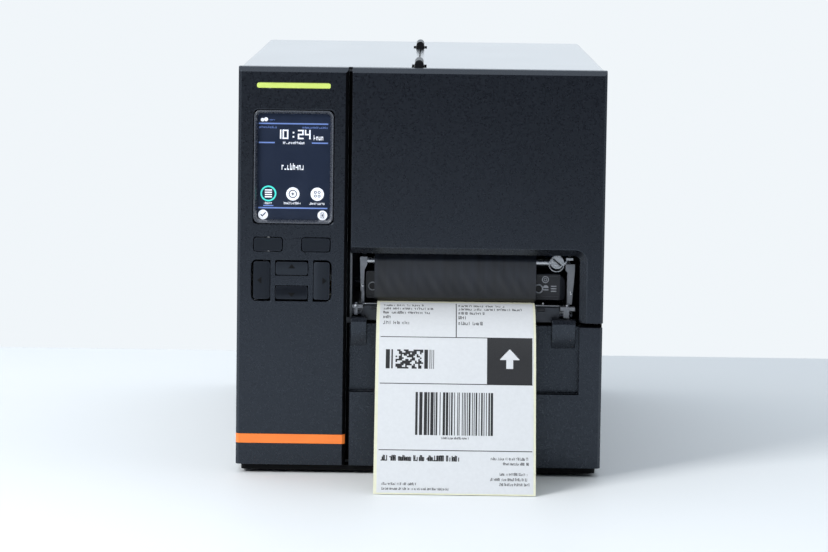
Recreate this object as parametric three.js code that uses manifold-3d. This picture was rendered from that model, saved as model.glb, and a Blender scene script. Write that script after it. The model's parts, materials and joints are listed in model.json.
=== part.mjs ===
// Desktop thermal-transfer label printer, in millimetres.
// +Z is up, the front faces -Y and +X is to the right as seen from the front.
// The origin is on the table, under the middle of the printer and the label it has just printed.
import * as THREE from "three";
import { mergeVertices } from "three/addons/utils/BufferGeometryUtils.js";
import Module from "manifold-3d";

const wasm = await Module();
wasm.setup();

// ---- Driving dimensions ----
const WIDTH = 248;
const DEPTH = 436;
const TOP = 276;
const LABEL_REACH = 80; // the printed label reaches this far in front of the printer
const FRONT = -(DEPTH - LABEL_REACH) / 2;
const REAR = FRONT + DEPTH;
const LEFT = -WIDTH / 2;
const RIGHT = WIDTH / 2;

const GAP = 0.3; // clearance between pieces that touch
const SKIN = 1.6; // sheet metal
const PANEL_DEEP = 13; // moulded front panels, front to back
const PANEL_WALL = 3;
const TOP_BEVEL = 3.4;
const SIDE_BEVEL = 1.8;
const SEAM_BEVEL = 0.4; // on the edges beside the upright seam
const PANEL_FOOT = 6; // lower edge of the front panels and side skins

const BEZEL_RIGHT = -50; // control panel
const COVER_LEFT = -47.5; // front panel of the media cover
const COVER_FOOT = 105.3; // lower edge of the media cover
const SLOT_TOP = 150.6; // label slot in the media cover
const SLOT_RIGHT = 108;
const LOWER_TOP = 102.3; // lower front panel
const LOWER_RIGHT = 123.7;

const HINGE_X = -2.8;
const HINGE_Z = 278.2;
const HINGE_R = 3;
const HINGE_LONG = 44;
const HINGE_STARTS = [16, 312]; // behind the front face
const TOP_SEAM = 0.4; // half of the seam between the fixed top and the cover

const WALL_LEFT = -50.5; // centre wall
const WALL_RIGHT = -46.5;

const MEDIA_X0 = -29.1; // label web
const MEDIA_X1 = 77.8;
const RIBBON_X0 = -31.3;
const RIBBON_X1 = 78.7;
const PLATEN = [24, 107.7];
const PLATEN_R = 8;
const WEB_Z = PLATEN[1] + PLATEN_R + 0.85;
const HEAD_PIVOT = [78, 132];
const LEVER_PIVOT = [60, 152];
const FRONT_ROD = [19.5, 144.6];
const REAR_ROD = [96, 121.2];
const REWIND = [100, 205];
const SUPPLY = [230, 205];
const ROLL = [318, 112];
const ROLL_R = 63;
const GUIDE_ROD = [150, 111.9];
const DAMPER_PIVOT = [185, 150];
const DAMPER_BAR = [205, 128];
const GEAR_TEETH = 28;
const PINION_TEETH = 14;
const GEAR_MODULE = 1;
const MESH_ANGLE = (35 * Math.PI) / 180;
const MESH_DISTANCE = (GEAR_MODULE * (GEAR_TEETH + PINION_TEETH)) / 2;
const MOTOR = [
  PLATEN[0] + MESH_DISTANCE * Math.cos(MESH_ANGLE),
  PLATEN[1] + MESH_DISTANCE * Math.sin(MESH_ANGLE),
];

// ---- Solids ----
const behind = (depth) => FRONT + depth; // a depth behind the front face, as a Y

function solid(geometry) {
  const bare = geometry.index ? geometry.toNonIndexed() : geometry;
  bare.deleteAttribute("normal");
  bare.deleteAttribute("uv");
  const merged = mergeVertices(bare, 1e-4);
  return new wasm.Manifold(
    new wasm.Mesh({
      numProp: 3,
      vertProperties: new Float32Array(merged.attributes.position.array),
      triVerts: new Uint32Array(merged.index.array),
    }),
  );
}

// The three-letter names below give the axes of the outline and then the axis it is extruded along.
const DRAWN = {
  xyz: [[1, 0, 0], [0, 1, 0], [0, 0, 1]],
  yzx: [[0, 1, 0], [0, 0, 1], [1, 0, 0]],
  xzy: [[1, 0, 0], [0, 0, 1], [0, -1, 0]],
};

function extrude(shape, axes, from, to, arcSteps = 4) {
  const geometry = new THREE.ExtrudeGeometry(shape, {
    depth: to - from,
    bevelEnabled: false,
    curveSegments: arcSteps,
  });
  geometry.translate(0, 0, axes === "xzy" ? -to : from);
  const basis = DRAWN[axes].map((v) => new THREE.Vector3(...v));
  geometry.applyMatrix4(new THREE.Matrix4().makeBasis(...basis));
  return solid(geometry);
}

function outline(points) {
  return new THREE.Shape(points.map(([a, b]) => new THREE.Vector2(a, b)));
}

function roundRect(a0, a1, b0, b1, r) {
  const s = new THREE.Shape();
  s.moveTo(a0 + r, b0);
  s.lineTo(a1 - r, b0);
  s.absarc(a1 - r, b0 + r, r, -Math.PI / 2, 0, false);
  s.lineTo(a1, b1 - r);
  s.absarc(a1 - r, b1 - r, r, 0, Math.PI / 2, false);
  s.lineTo(a0 + r, b1);
  s.absarc(a0 + r, b1 - r, r, Math.PI / 2, Math.PI, false);
  s.lineTo(a0, b0 + r);
  s.absarc(a0 + r, b0 + r, r, Math.PI, 1.5 * Math.PI, false);
  return s;
}

// A box whose depths are measured behind the front face.
function block(x0, x1, d0, d1, z0, z1) {
  const geometry = new THREE.BoxGeometry(x1 - x0, d1 - d0, z1 - z0);
  geometry.translate((x0 + x1) / 2, behind((d0 + d1) / 2), (z0 + z1) / 2);
  return solid(geometry);
}

function rodX(x0, x1, [depth, z], r, sides = 24) {
  const geometry = new THREE.CylinderGeometry(r, r, x1 - x0, sides);
  geometry.rotateZ(-Math.PI / 2);
  geometry.translate((x0 + x1) / 2, behind(depth), z);
  return solid(geometry);
}

function rodY(x, z, d0, d1, r, sides = 24) {
  const geometry = new THREE.CylinderGeometry(r, r, d1 - d0, sides);
  geometry.translate(x, behind((d0 + d1) / 2), z);
  return solid(geometry);
}

function rodZ(x, depth, z0, z1, r, sides = 24) {
  const geometry = new THREE.CylinderGeometry(r, r, z1 - z0, sides);
  geometry.rotateX(Math.PI / 2);
  geometry.translate(x, behind(depth), (z0 + z1) / 2);
  return solid(geometry);
}

// An outline of depth and height, extruded across the printer.
function acrossX(points, x0, x1) {
  const moved = points.map(([depth, z]) => [behind(depth), z]);
  return extrude(outline(moved), "yzx", x0, x1);
}

// An outline of width and height, extruded from front to back.
function throughY(shape, d0, d1, arcSteps = 4) {
  return extrude(shape, "xzy", behind(d0), behind(d1), arcSteps);
}

const joined = (first, ...more) => more.reduce((a, b) => a.add(b), first);
const cut = (first, ...more) => more.reduce((a, b) => a.subtract(b), first);

// A thin web along a line of depths and heights: a long box bent to follow the line.
function web(line, thick, x0, x1) {
  const last = line.length - 1;
  const geometry = new THREE.BoxGeometry(1, last, 1, 1, last, 1);
  const { position } = geometry.attributes;
  for (let v = 0; v < position.count; v++) {
    const i = Math.round(position.getY(v) + last / 2);
    const [d0, z0] = line[Math.max(i - 1, 0)];
    const [d1, z1] = line[Math.min(i + 1, last)];
    const off = (Math.sign(position.getZ(v)) * thick) / 2 / Math.hypot(d1 - d0, z1 - z0);
    const x = position.getX(v) > 0 ? x1 : x0;
    const [d, z] = line[i];
    position.setXYZ(v, x, behind(d - (z1 - z0) * off), z + (d1 - d0) * off);
  }
  return solid(geometry);
}

// The point at an angle in degrees on a circle, and the points of an arc of it.
function onCircle([cd, cz], r, angle) {
  const t = (angle * Math.PI) / 180;
  return [cd + r * Math.cos(t), cz + r * Math.sin(t)];
}

function arc(centre, r, from, to, steps) {
  const points = [];
  for (let i = 0; i <= steps; i++) {
    points.push(onCircle(centre, r, from + ((to - from) * i) / steps));
  }
  return points;
}

// ---- Meshes ----
const printer = new THREE.Group();

function add(name, body, colour, roughness = 0.6, metalness = 0) {
  const mesh = body.getMesh();
  const geometry = new THREE.BufferGeometry();
  geometry.setAttribute(
    "position",
    new THREE.BufferAttribute(new Float32Array(mesh.vertProperties), 3),
  );
  geometry.setIndex(new THREE.BufferAttribute(new Uint32Array(mesh.triVerts), 1));
  geometry.computeVertexNormals();
  const material = new THREE.MeshStandardMaterial({ color: colour, roughness, metalness });
  const part = new THREE.Mesh(geometry, material);
  part.name = name;
  printer.add(part);
}

const BODY_BLACK = 0x23272e;
const SKIN_BLACK = 0x2a2e35;
const MECH_BLACK = 0x1a1c20;
const STEEL = 0xb8bcc2;
const ZINC = 0x8f959c;

// ---- Base ----
const BASE_INSET = 3.5;
const BASE_Z0 = 2;
const BASE_TOP = PANEL_FOOT - GAP;

function basePan() {
  const shape = roundRect(
    LEFT + BASE_INSET, RIGHT - BASE_INSET, FRONT + BASE_INSET, REAR - BASE_INSET, 4,
  );
  return extrude(shape, "xyz", BASE_Z0, BASE_TOP);
}

add("base_pan", basePan(), MECH_BLACK, 0.55);

const FOOT_R = 12;
const FOOT_X = 98;
const FOOT_IN = 30;
for (const [endName, depth] of [["front", FOOT_IN], ["rear", DEPTH - FOOT_IN]]) {
  for (const [sideName, x] of [["left", -FOOT_X], ["right", FOOT_X]]) {
    const foot = rodZ(x, depth, 0, BASE_Z0 - GAP, FOOT_R);
    add(`foot_${endName}_${sideName}`, foot, 0x111214, 0.9);
  }
}

// ---- Front panels ----
// Each is a tray, open at the back, with bevels along its top and its upright edges.
function panelBlank(x0, x1, z0, z1, topBevel, leftBevel = SIDE_BEVEL) {
  const plan = outline([
    [x0, behind(leftBevel)], [x0 + leftBevel, FRONT], [x1 - SIDE_BEVEL, FRONT],
    [x1, behind(SIDE_BEVEL)], [x1, behind(PANEL_DEEP)], [x0, behind(PANEL_DEEP)],
  ]);
  const blank = extrude(plan, "xyz", z0, z1);
  if (!topBevel) return blank;
  const wedge = acrossX(
    [[-1, z1 - topBevel - 1], [topBevel + 1, z1 + 1], [-1, z1 + 1]], x0 - 1, x1 + 1,
  );
  return cut(blank, wedge);
}

const STRIPE_Z0 = 20.4;
const STRIPE_Z1 = 27;
const STRIPE_THICK = 0.9;
const STRIPE_WRAP = 6;

// A band round the front and the two edges of the control panel.
function stripeBand(inner, outer, z0, z1) {
  const side = (offset) => {
    const x0 = LEFT + offset;
    const x1 = BEZEL_RIGHT - offset;
    const bend = SIDE_BEVEL + offset * 0.41;
    return [
      [x0, behind(STRIPE_WRAP)], [x0, behind(bend)], [LEFT + bend, behind(offset)],
      [BEZEL_RIGHT - bend, behind(offset)], [x1, behind(bend)], [x1, behind(STRIPE_WRAP)],
    ];
  };
  const plan = outline([...side(outer), ...side(inner).reverse()]);
  return extrude(plan, "xyz", z0, z1);
}

const LIGHT = [-111.7, -61.8, 261.6, 265.6];
const SCREEN = [-111.6, -61.3, 172.2, 245.2];
const SCREEN_FLARE = 2.4;
const KEY_HOLE_GAP = 0.5;
const KEY_PROUD = 0.8;
const KEY_BACK = 3.6;
const NAV = [-114.5, -60.1, 117.7, 145.8];
const KEYS = [
  { name: "soft_key_left", box: [-112.7, -93.9, 151.9, 160.7], slope: null },
  { name: "soft_key_right", box: [-80.2, -61.6, 151.9, 160.7], slope: null },
  { name: "key_left", box: [-112.8, -101.9, 119.2, 144.5], slope: "right" },
  { name: "key_right", box: [-72.2, -61.5, 119.2, 144.5], slope: "left" },
  { name: "key_up", box: [-97.8, -76.3, 135.6, 144.5], slope: "down" },
  { name: "key_down", box: [-97.8, -76.3, 119.2, 128.1], slope: "up" },
];

// The display opening narrows from the face of the panel to the glass behind it.
function screenOpening() {
  const [x0, x1, z0, z1] = SCREEN;
  const tall = PANEL_WALL + 1;
  const geometry = new THREE.ExtrudeGeometry(roundRect(x0, x1, z0, z1, 1), {
    depth: tall,
    bevelEnabled: true,
    bevelSegments: 1,
    bevelSize: SCREEN_FLARE,
    bevelThickness: PANEL_WALL,
    curveSegments: 4,
  });
  geometry.rotateX(Math.PI / 2);
  geometry.translate(0, FRONT, 0);
  const through = throughY(roundRect(x0, x1, z0, z1, 1), -1, PANEL_WALL + 1);
  return joined(solid(geometry), through);
}

function navOpening() {
  const [x0, x1, z0, z1] = NAV;
  let opening = throughY(roundRect(x0, x1, z0, z1, 4), -1, PANEL_WALL + 1);
  const [left, right, up, down] = KEYS.slice(2).map((key) => key.box);
  const g = KEY_HOLE_GAP;
  const spokes = [
    block(left[1] + g, up[0] - g, -2, PANEL_WALL + 2, z0 - 1, z1 + 1),
    block(up[1] + g, right[0] - g, -2, PANEL_WALL + 2, z0 - 1, z1 + 1),
    block(left[1] + g, right[0] - g, -2, PANEL_WALL + 2, down[3] + g, up[2] - g),
  ];
  for (const spoke of spokes) opening = opening.subtract(spoke);
  return opening;
}

function frontBezel() {
  const shell = cut(
    panelBlank(LEFT, BEZEL_RIGHT, PANEL_FOOT, TOP, TOP_BEVEL),
    block(
      LEFT + PANEL_WALL, BEZEL_RIGHT - PANEL_WALL, PANEL_WALL, PANEL_DEEP + 1,
      PANEL_FOOT + PANEL_WALL, TOP - TOP_BEVEL - 1,
    ),
    stripeBand(STRIPE_THICK + GAP, -1, STRIPE_Z0, STRIPE_Z1),
    throughY(roundRect(...LIGHT, 1.99), -1, PANEL_WALL + 1),
    screenOpening(),
    navOpening(),
  );
  const holes = KEYS.slice(0, 2).map(({ box: [x0, x1, z0, z1] }) => {
    const g = KEY_HOLE_GAP;
    return throughY(roundRect(x0 - g, x1 + g, z0 - g, z1 + g, 2), -1, PANEL_WALL + 1);
  });
  return cut(shell, ...holes);
}

// A key cap, with a sloped strip along the side that faces the middle of the cluster.
function keyCap({ box: [x0, x1, z0, z1], slope }) {
  const cap = throughY(roundRect(x0, x1, z0, z1, 1.6), -KEY_PROUD, KEY_BACK, 3);
  const run = 3.2;
  const fall = 1.1;
  const e = 1;
  const front = -KEY_PROUD;
  const tip = front + (fall * (run + e)) / run;
  const wedges = {
    down: () => acrossX([[front - 1, z0 + run], [front, z0 + run], [tip, z0 - e],
      [front - 1, z0 - e]], x0 - e, x1 + e),
    up: () => acrossX([[front - 1, z1 + e], [tip, z1 + e], [front, z1 - run],
      [front - 1, z1 - run]], x0 - e, x1 + e),
    right: () => extrude(outline([[x1 - run, behind(front - 1)], [x1 + e, behind(front - 1)],
      [x1 + e, behind(tip)], [x1 - run, behind(front)]]), "xyz", z0 - e, z1 + e),
    left: () => extrude(outline([[x0 - e, behind(front - 1)], [x0 + run, behind(front - 1)],
      [x0 + run, behind(front)], [x0 - e, behind(tip)]]), "xyz", z0 - e, z1 + e),
  };
  return slope ? cut(cap, wedges[slope]()) : cap;
}

function displayPanel() {
  const [x0, x1, z0, z1] = SCREEN;
  const edge = 3;
  return block(
    x0 - edge, x1 + edge, PANEL_WALL + GAP, PANEL_WALL + 5, z0 - edge, z1 + edge,
  );
}

function statusLight() {
  const [x0, x1, z0, z1] = LIGHT;
  const pipe = roundRect(x0 + GAP, x1 - GAP, z0 + GAP, z1 - GAP, 1.69);
  return throughY(pipe, 0.1, 6);
}

add("front_bezel", frontBezel(), BODY_BLACK, 0.5);
add("orange_stripe", stripeBand(STRIPE_THICK, 0, STRIPE_Z0 + GAP / 2, STRIPE_Z1 - GAP / 2),
  0xfa8a3c, 0.5);
add("status_light", statusLight(), 0xd6e86a, 0.4);
add("display_panel", displayPanel(), 0x1d2333, 0.2);
for (const key of KEYS) add(key.name, keyCap(key), BODY_BLACK, 0.55);

// ---- Lower front panel, with the recess that the label hangs in front of ----
const RECESS_RIGHT = 108.1;
const RECESS_FOOT = 56.3;
const RECESS_DEEP = 8;
const GUIDE_BLOCKS = [[-46.8, -36.1], [89.6, 105.6]];
const GUIDE_BLOCK_TOP = 106.7;

function lowerFront() {
  const x0 = COVER_LEFT;
  const tray = cut(
    panelBlank(x0, LOWER_RIGHT, PANEL_FOOT, LOWER_TOP, 0, SEAM_BEVEL),
    block(x0 - 1, RECESS_RIGHT, -1, RECESS_DEEP, RECESS_FOOT, LOWER_TOP + 1),
    block(x0 + PANEL_WALL, LOWER_RIGHT - PANEL_WALL, PANEL_WALL, PANEL_DEEP + 1,
      PANEL_FOOT + PANEL_WALL, RECESS_FOOT - PANEL_WALL),
    block(x0 + PANEL_WALL, RECESS_RIGHT + PANEL_WALL, RECESS_DEEP + PANEL_WALL, PANEL_DEEP + 1,
      RECESS_FOOT - PANEL_WALL, LOWER_TOP - PANEL_WALL),
    block(RECESS_RIGHT + PANEL_WALL, LOWER_RIGHT - PANEL_WALL, PANEL_WALL, PANEL_DEEP + 1,
      PANEL_FOOT + PANEL_WALL, LOWER_TOP - PANEL_WALL),
  );
  const side = [
    [RECESS_DEEP + 1, 84], [RECESS_DEEP, 87], [4.2, 93], [2.6, 98], [2.2, 104],
    [3.4, GUIDE_BLOCK_TOP], [PANEL_DEEP, GUIDE_BLOCK_TOP], [PANEL_DEEP, 98],
    [RECESS_DEEP + 1, 96],
  ];
  const blocks = GUIDE_BLOCKS.map(([a, b]) => acrossX(side, a, b));
  return joined(tray, ...blocks);
}

add("lower_front", lowerFront(), BODY_BLACK, 0.5);

// ---- Media cover ----
const SLOT_CORNER_R = 4;
const SLOT_CHAMFER = 4.6;

function coverFront() {
  const cornerR = SLOT_CORNER_R;
  const x1 = SLOT_RIGHT;
  const slot = new THREE.Shape();
  slot.moveTo(COVER_LEFT - 5, COVER_FOOT - 5);
  slot.lineTo(x1, COVER_FOOT - 5);
  slot.lineTo(x1, SLOT_TOP - cornerR);
  slot.absarc(x1 - cornerR, SLOT_TOP - cornerR, cornerR, 0, Math.PI / 2, false);
  slot.lineTo(COVER_LEFT - 5, SLOT_TOP);
  const geometry = new THREE.ExtrudeGeometry(slot, {
    depth: 6,
    bevelEnabled: true,
    bevelSegments: 1,
    bevelSize: SLOT_CHAMFER,
    bevelThickness: SLOT_CHAMFER,
    curveSegments: 5,
  });
  geometry.rotateX(Math.PI / 2);
  geometry.translate(0, FRONT, 0);
  return cut(
    panelBlank(COVER_LEFT, RIGHT, COVER_FOOT, TOP, TOP_BEVEL, SEAM_BEVEL),
    throughY(slot, -1, PANEL_DEEP + 1, 5),
    solid(geometry),
    block(COVER_LEFT + PANEL_WALL, RIGHT - PANEL_WALL, PANEL_WALL, PANEL_DEEP + 1,
      SLOT_TOP + 10, TOP - TOP_BEVEL - 1),
    block(SLOT_RIGHT + 6, RIGHT - PANEL_WALL, PANEL_WALL, PANEL_DEEP + 1,
      COVER_FOOT + PANEL_WALL, SLOT_TOP + 10),
  );
}

// Sheet metal that runs up one side and over the top, with a round corner between them.
const BEND_OUTER_R = 3.5;

function bentSkin(sideX, inner, foot) {
  const out = Math.sign(sideX);
  const r = BEND_OUTER_R;
  const s = new THREE.Shape();
  s.moveTo(sideX, foot);
  s.lineTo(sideX, TOP - r);
  s.absarc(sideX - out * r, TOP - r, r, out > 0 ? 0 : Math.PI, Math.PI / 2, out < 0);
  s.lineTo(inner, TOP);
  s.lineTo(inner, TOP - SKIN);
  s.lineTo(sideX - out * r, TOP - SKIN);
  s.lineTo(sideX - out * SKIN, TOP - r);
  s.lineTo(sideX - out * SKIN, foot);
  return throughY(s, PANEL_DEEP + GAP, DEPTH, 5);
}

const NECK = 5; // the notch in each skin for a hinge's neck
const notchesFrom = (x0, x1) =>
  HINGE_STARTS.map((start) => block(
    x0, x1, start - 0.6, start + HINGE_LONG + 0.6, TOP - SKIN - 1, TOP + 1,
  ));

function leftHousing() {
  const inner = HINGE_X - TOP_SEAM;
  return cut(
    bentSkin(LEFT, inner, PANEL_FOOT),
    block(WALL_LEFT, inner + 1, PANEL_DEEP, PANEL_DEEP + 1.6, TOP - SKIN - 1, TOP + 1),
    ...notchesFrom(HINGE_X - NECK, HINGE_X + 1),
  );
}

const WINDOW = [70, 330, 132, 246]; // depth and height of the window in the cover's side
const WINDOW_R = 10;
const WINDOW_LAP = 8;
const WINDOW_THICK = 2;

function coverShell() {
  const [d0, d1, z0, z1] = WINDOW;
  const pane = extrude(
    roundRect(behind(d0), behind(d1), z0, z1, WINDOW_R), "yzx", RIGHT - 5, RIGHT + 5,
  );
  return cut(
    bentSkin(RIGHT, HINGE_X + TOP_SEAM, COVER_FOOT),
    pane,
    ...notchesFrom(HINGE_X - 1, HINGE_X + NECK),
  );
}

function coverWindow() {
  const [d0, d1, z0, z1] = WINDOW;
  const lap = WINDOW_LAP;
  const pane = roundRect(behind(d0 - lap), behind(d1 + lap), z0 - lap, z1 + lap, WINDOW_R + 2);
  const outer = RIGHT - SKIN - GAP;
  return extrude(pane, "yzx", outer - WINDOW_THICK, outer);
}

add("left_housing", leftHousing(), SKIN_BLACK, 0.45);
add("cover_shell", coverShell(), SKIN_BLACK, 0.45);
add("cover_front", coverFront(), BODY_BLACK, 0.5);
add("cover_window", coverWindow(), 0x30363c, 0.1);

// ---- Hinges: the fixed leaf carries the pin and the outer knuckles ----
const KNUCKLE = 14;
const PIN_R = 1.2;

function hingeNeck(side, d0, d1) {
  const x = (offset) => HINGE_X + side * offset;
  const neck = outline([
    [x(6.2), 272.5], [x(2.2), 272.5], [x(0), 276], [x(2.8), 277.5], [x(4.2), 274],
  ]);
  return joined(throughY(neck, d0, d1), rodY(HINGE_X, HINGE_Z, d0, d1, HINGE_R, 20));
}

function leafPlate(side, start) {
  const near = HINGE_X + side * 3.4;
  const far = HINGE_X + side * 21;
  return block(
    Math.min(near, far), Math.max(near, far), start, start + HINGE_LONG, 272.5, 274,
  );
}

function fixedLeaf(start) {
  const end = start + HINGE_LONG;
  return joined(
    leafPlate(-1, start),
    hingeNeck(-1, start, start + KNUCKLE),
    hingeNeck(-1, end - KNUCKLE, end),
    rodY(HINGE_X, HINGE_Z, start, end, PIN_R, 16),
  );
}

function coverLeaf(start) {
  const end = start + HINGE_LONG;
  const bore = rodY(HINGE_X, HINGE_Z, start - 1, end + 1, PIN_R + 0.4, 16);
  const neck = hingeNeck(1, start + KNUCKLE + 0.5, end - KNUCKLE - 0.5);
  return cut(joined(leafPlate(1, start), neck), bore);
}

["front", "rear"].forEach((place, i) => {
  add(`hinge_fixed_${place}`, fixedLeaf(HINGE_STARTS[i]), 0x1c1e22, 0.5);
  add(`hinge_cover_${place}`, coverLeaf(HINGE_STARTS[i]), 0x1c1e22, 0.5);
});

// ---- Centre wall, lower side panel and rear panel ----
const SPINDLE_SHAFT_R = 5;
const REAR_FACE = DEPTH - 1.2;
const REAR_THICK = 1.8;
const INLET = [-101, -73, 20, 41];
const ROCKER = [-97, -77, 52, 66];
const PORTS = [[-67, -53, 22, 29], [-67, -55, 36, 47], [-69, -53, 54, 68], [-85, -53, 76, 88]];
const FANFOLD = [-32, 84, 60, 66];

function centreWall() {
  const plate = block(
    WALL_LEFT, WALL_RIGHT, PANEL_DEEP + 0.6, REAR_FACE - REAR_THICK - GAP,
    PANEL_FOOT, TOP - SKIN - 0.4,
  );
  const hole = (at, r) => rodX(WALL_LEFT - 1, WALL_RIGHT + 1, at, r);
  return cut(
    plate, hole(PLATEN, 5), hole(REWIND, SPINDLE_SHAFT_R + 0.5),
    hole(SUPPLY, SPINDLE_SHAFT_R + 0.5), hole(DAMPER_PIVOT, 3.5),
  );
}

function rearPanel() {
  const x = RIGHT - SKIN - 2 * GAP;
  const d0 = REAR_FACE - REAR_THICK;
  const top = TOP - SKIN - GAP;
  const plate = throughY(
    outline([[-x, PANEL_FOOT], [x, PANEL_FOOT], [x, top - 3], [x - 3, top], [3 - x, top],
      [-x, top - 3]]), d0, REAR_FACE,
  );
  const holes = [INLET, ROCKER, ...PORTS, FANFOLD].map(([x0, x1, z0, z1]) =>
    block(x0 - 0.4, x1 + 0.4, d0 - 1, REAR_FACE + 1, z0 - 0.4, z1 + 0.4));
  for (let i = 0; i < 9; i++) {
    const left = -112 + i * 7;
    holes.push(block(left, left + 3, d0 - 1, REAR_FACE + 1, 196, 236));
  }
  return cut(plate, ...holes);
}

add("centre_wall", centreWall(), 0x9aa0a6, 0.6, 0.6);

// The lower side skin has a lip along its top that stands behind the seam under the cover.
function lowerSidePanel() {
  const x = LOWER_RIGHT;
  const side = outline([
    [x - SKIN, PANEL_FOOT], [x, PANEL_FOOT], [x, LOWER_TOP], [x - SKIN, LOWER_TOP],
    [x - 2, LOWER_TOP + 1], [x - 2, 112], [x - 3.4, 112], [x - 3.4, 96], [x - SKIN, 94],
  ]);
  return throughY(side, PANEL_DEEP + GAP, REAR_FACE - REAR_THICK - GAP);
}

add("lower_side_panel", lowerSidePanel(), SKIN_BLACK, 0.45);
add("rear_panel", rearPanel(), SKIN_BLACK, 0.5);

// ---- Power inlet and rocker switch ----
function powerInlet() {
  const [x0, x1, z0, z1] = INLET;
  const flange = block(x0 - 3, x1 + 3, REAR_FACE + GAP, DEPTH - 0.1, z0 - 3, z1 + 3);
  const can = block(x0, x1, DEPTH - 24, DEPTH - 0.1, z0, z1);
  const well = block(x0 + 3, x1 - 3, DEPTH - 17, DEPTH + 1, z0 + 3, z1 - 3);
  const blade = (x, z) => block(x - 1, x + 1, DEPTH - 18, DEPTH - 4, z - 2.2, z + 2.2);
  const midX = (x0 + x1) / 2;
  const midZ = (z0 + z1) / 2;
  return joined(
    cut(joined(flange, can), well),
    blade(midX - 7, midZ - 1.5), blade(midX + 7, midZ - 1.5), blade(midX, midZ + 2),
  );
}

// The rocker lies with its lower half pressed in, and turns about its middle.
const ROCKER_TILT = 8;
const ROCKER_PIVOT = [DEPTH - 7.5, (ROCKER[2] + ROCKER[3]) / 2];

function rockerCap() {
  const [x0, x1, z0, z1] = ROCKER;
  const half = (z1 - z0) / 2 - 0.8;
  const [pivot, mid] = ROCKER_PIVOT;
  const tilt = (ROCKER_TILT * Math.PI) / 180;
  const turn = ([d, z]) => [
    pivot + d * Math.cos(tilt) + z * Math.sin(tilt),
    mid - d * Math.sin(tilt) + z * Math.cos(tilt),
  ];
  const side = [[-4, -half + 1], [5.2, -half], [4.4, 0], [5.2, half], [-4, half - 1]];
  return acrossX(side.map(turn), x0 + 0.6, x1 - 0.6);
}

add("power_inlet", powerInlet(), 0x16171a, 0.5);
add("power_rocker", rockerCap(), 0x141518, 0.4);

// ---- Electronics behind the control panel ----
function mainBoard() {
  const board = block(-66, -64.4, 90, 330, 96, 240);
  const parts = [[110, 150, 190, 225], [170, 186, 110, 160], [210, 250, 170, 200]];
  const chips = parts.map(([d0, d1, z0, z1]) => block(-78, -66, d0, d1, z0, z1));
  return joined(board, ...chips);
}

function driveMotor() {
  const half = 21;
  const c = 5;
  const [d, z] = MOTOR;
  const side = [
    [-half + c, -half], [half - c, -half], [half, -half + c], [half, half - c],
    [half - c, half], [-half + c, half], [-half, half - c], [-half, -half + c],
  ].map(([a, b]) => [d + a, z + b]);
  return joined(acrossX(side, -108, -68), rodX(-68, -66.3, MOTOR, 11));
}

add("main_board", mainBoard(), 0x1f5a3a, 0.6);
add("power_supply", block(-118, -64, 200, 380, 10, 60), 0xa0a4a8, 0.5, 0.7);
add("drive_motor", driveMotor(), 0x2b2d30, 0.5, 0.5);

// ---- Gears ----
// A spur gear with a tooth on the given angle.
function gear(teeth, at, x0, x1, toothAngle, boreR) {
  const pitchR = (GEAR_MODULE * teeth) / 2;
  const step = (2 * Math.PI) / teeth;
  const points = [];
  for (let i = 0; i < teeth; i++) {
    const mid = toothAngle + i * step;
    const corners = [
      [pitchR - 1.2, -0.33], [pitchR + 0.85, -0.12], [pitchR + 0.85, 0.12],
      [pitchR - 1.2, 0.33],
    ];
    for (const [r, share] of corners) {
      const t = mid + share * step;
      points.push([at[0] + r * Math.cos(t), at[1] + r * Math.sin(t)]);
    }
  }
  const wheel = acrossX(points, x0, x1);
  return boreR ? cut(wheel, rodX(x0 - 1, x1 + 1, at, boreR)) : wheel;
}

const GEAR_X0 = -62;
const GEAR_X1 = -56;
const PLATEN_SHAFT_R = 4;
const pinionPhase = MESH_ANGLE + Math.PI + Math.PI / PINION_TEETH;
add("platen_gear",
  gear(GEAR_TEETH, PLATEN, GEAR_X0, GEAR_X1, MESH_ANGLE, PLATEN_SHAFT_R + GAP), 0xd8d8d2, 0.5);
add("motor_pinion",
  joined(
    gear(PINION_TEETH, MOTOR, GEAR_X0, GEAR_X1, pinionPhase, 0),
    rodX(-66, GEAR_X0 + 1, MOTOR, 2.5, 16),
  ), 0xc9a64a, 0.4, 0.8);

// ---- Platen, bed and side plates ----
function platenBed() {
  return acrossX([
    [16, 86], [84, 86], [84, 100], [80, 100], [80, 92], [20, 92], [20, 98], [16, 98],
  ], WALL_RIGHT + GAP, 104);
}

const LEFT_PLATE = [-40, -38];
const RIGHT_PLATE = [100, 102];
const ARM = [14.4, 16.9]; // depth of the arms that hold the ribbon rod
const BRACKET = [9.5, 17.6, 112.5, 115]; // depth and height of the cast brackets beside the tear bar
const STEM_BACK = 12;
const PIVOT_SHAFT_R = 4;
const LEVER_STUB_R = 3.5;
const PLATE_BACK = [[20.4, 92.3], [79.6, 92.3], [79.6, 100.4], [90, 100.4], [90, 140], [72, 148]];
const LEVER_EAR = [[70, 160], [50, 160], [46, 148]];
const PLATE_FRONT = [[22, 148], [16.5, 142], [16.5, 100], [20.4, 98.6]];

function sidePlateLeft() {
  const arm = outline([
    [-40.6, 124], [-38.5, 124], [-38.1, 138], [-36.3, 142], [-36.3, 147.3], [-41.2, 147.3],
  ]);
  return joined(
    cut(
      acrossX([...PLATE_BACK, ...PLATE_FRONT], ...LEFT_PLATE),
      rodX(LEFT_PLATE[0] - 1, LEFT_PLATE[1] + 1, PLATEN, PLATEN_SHAFT_R + 1),
    ),
    throughY(arm, ...ARM),
    block(-46.1, -39, ...BRACKET),
    block(-44.6, -42.4, BRACKET[0], STEM_BACK, 108, BRACKET[2] + 0.1),
    rodX(LEFT_PLATE[0], RIGHT_PLATE[0] - 0.4, HEAD_PIVOT, PIVOT_SHAFT_R),
  );
}

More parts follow.
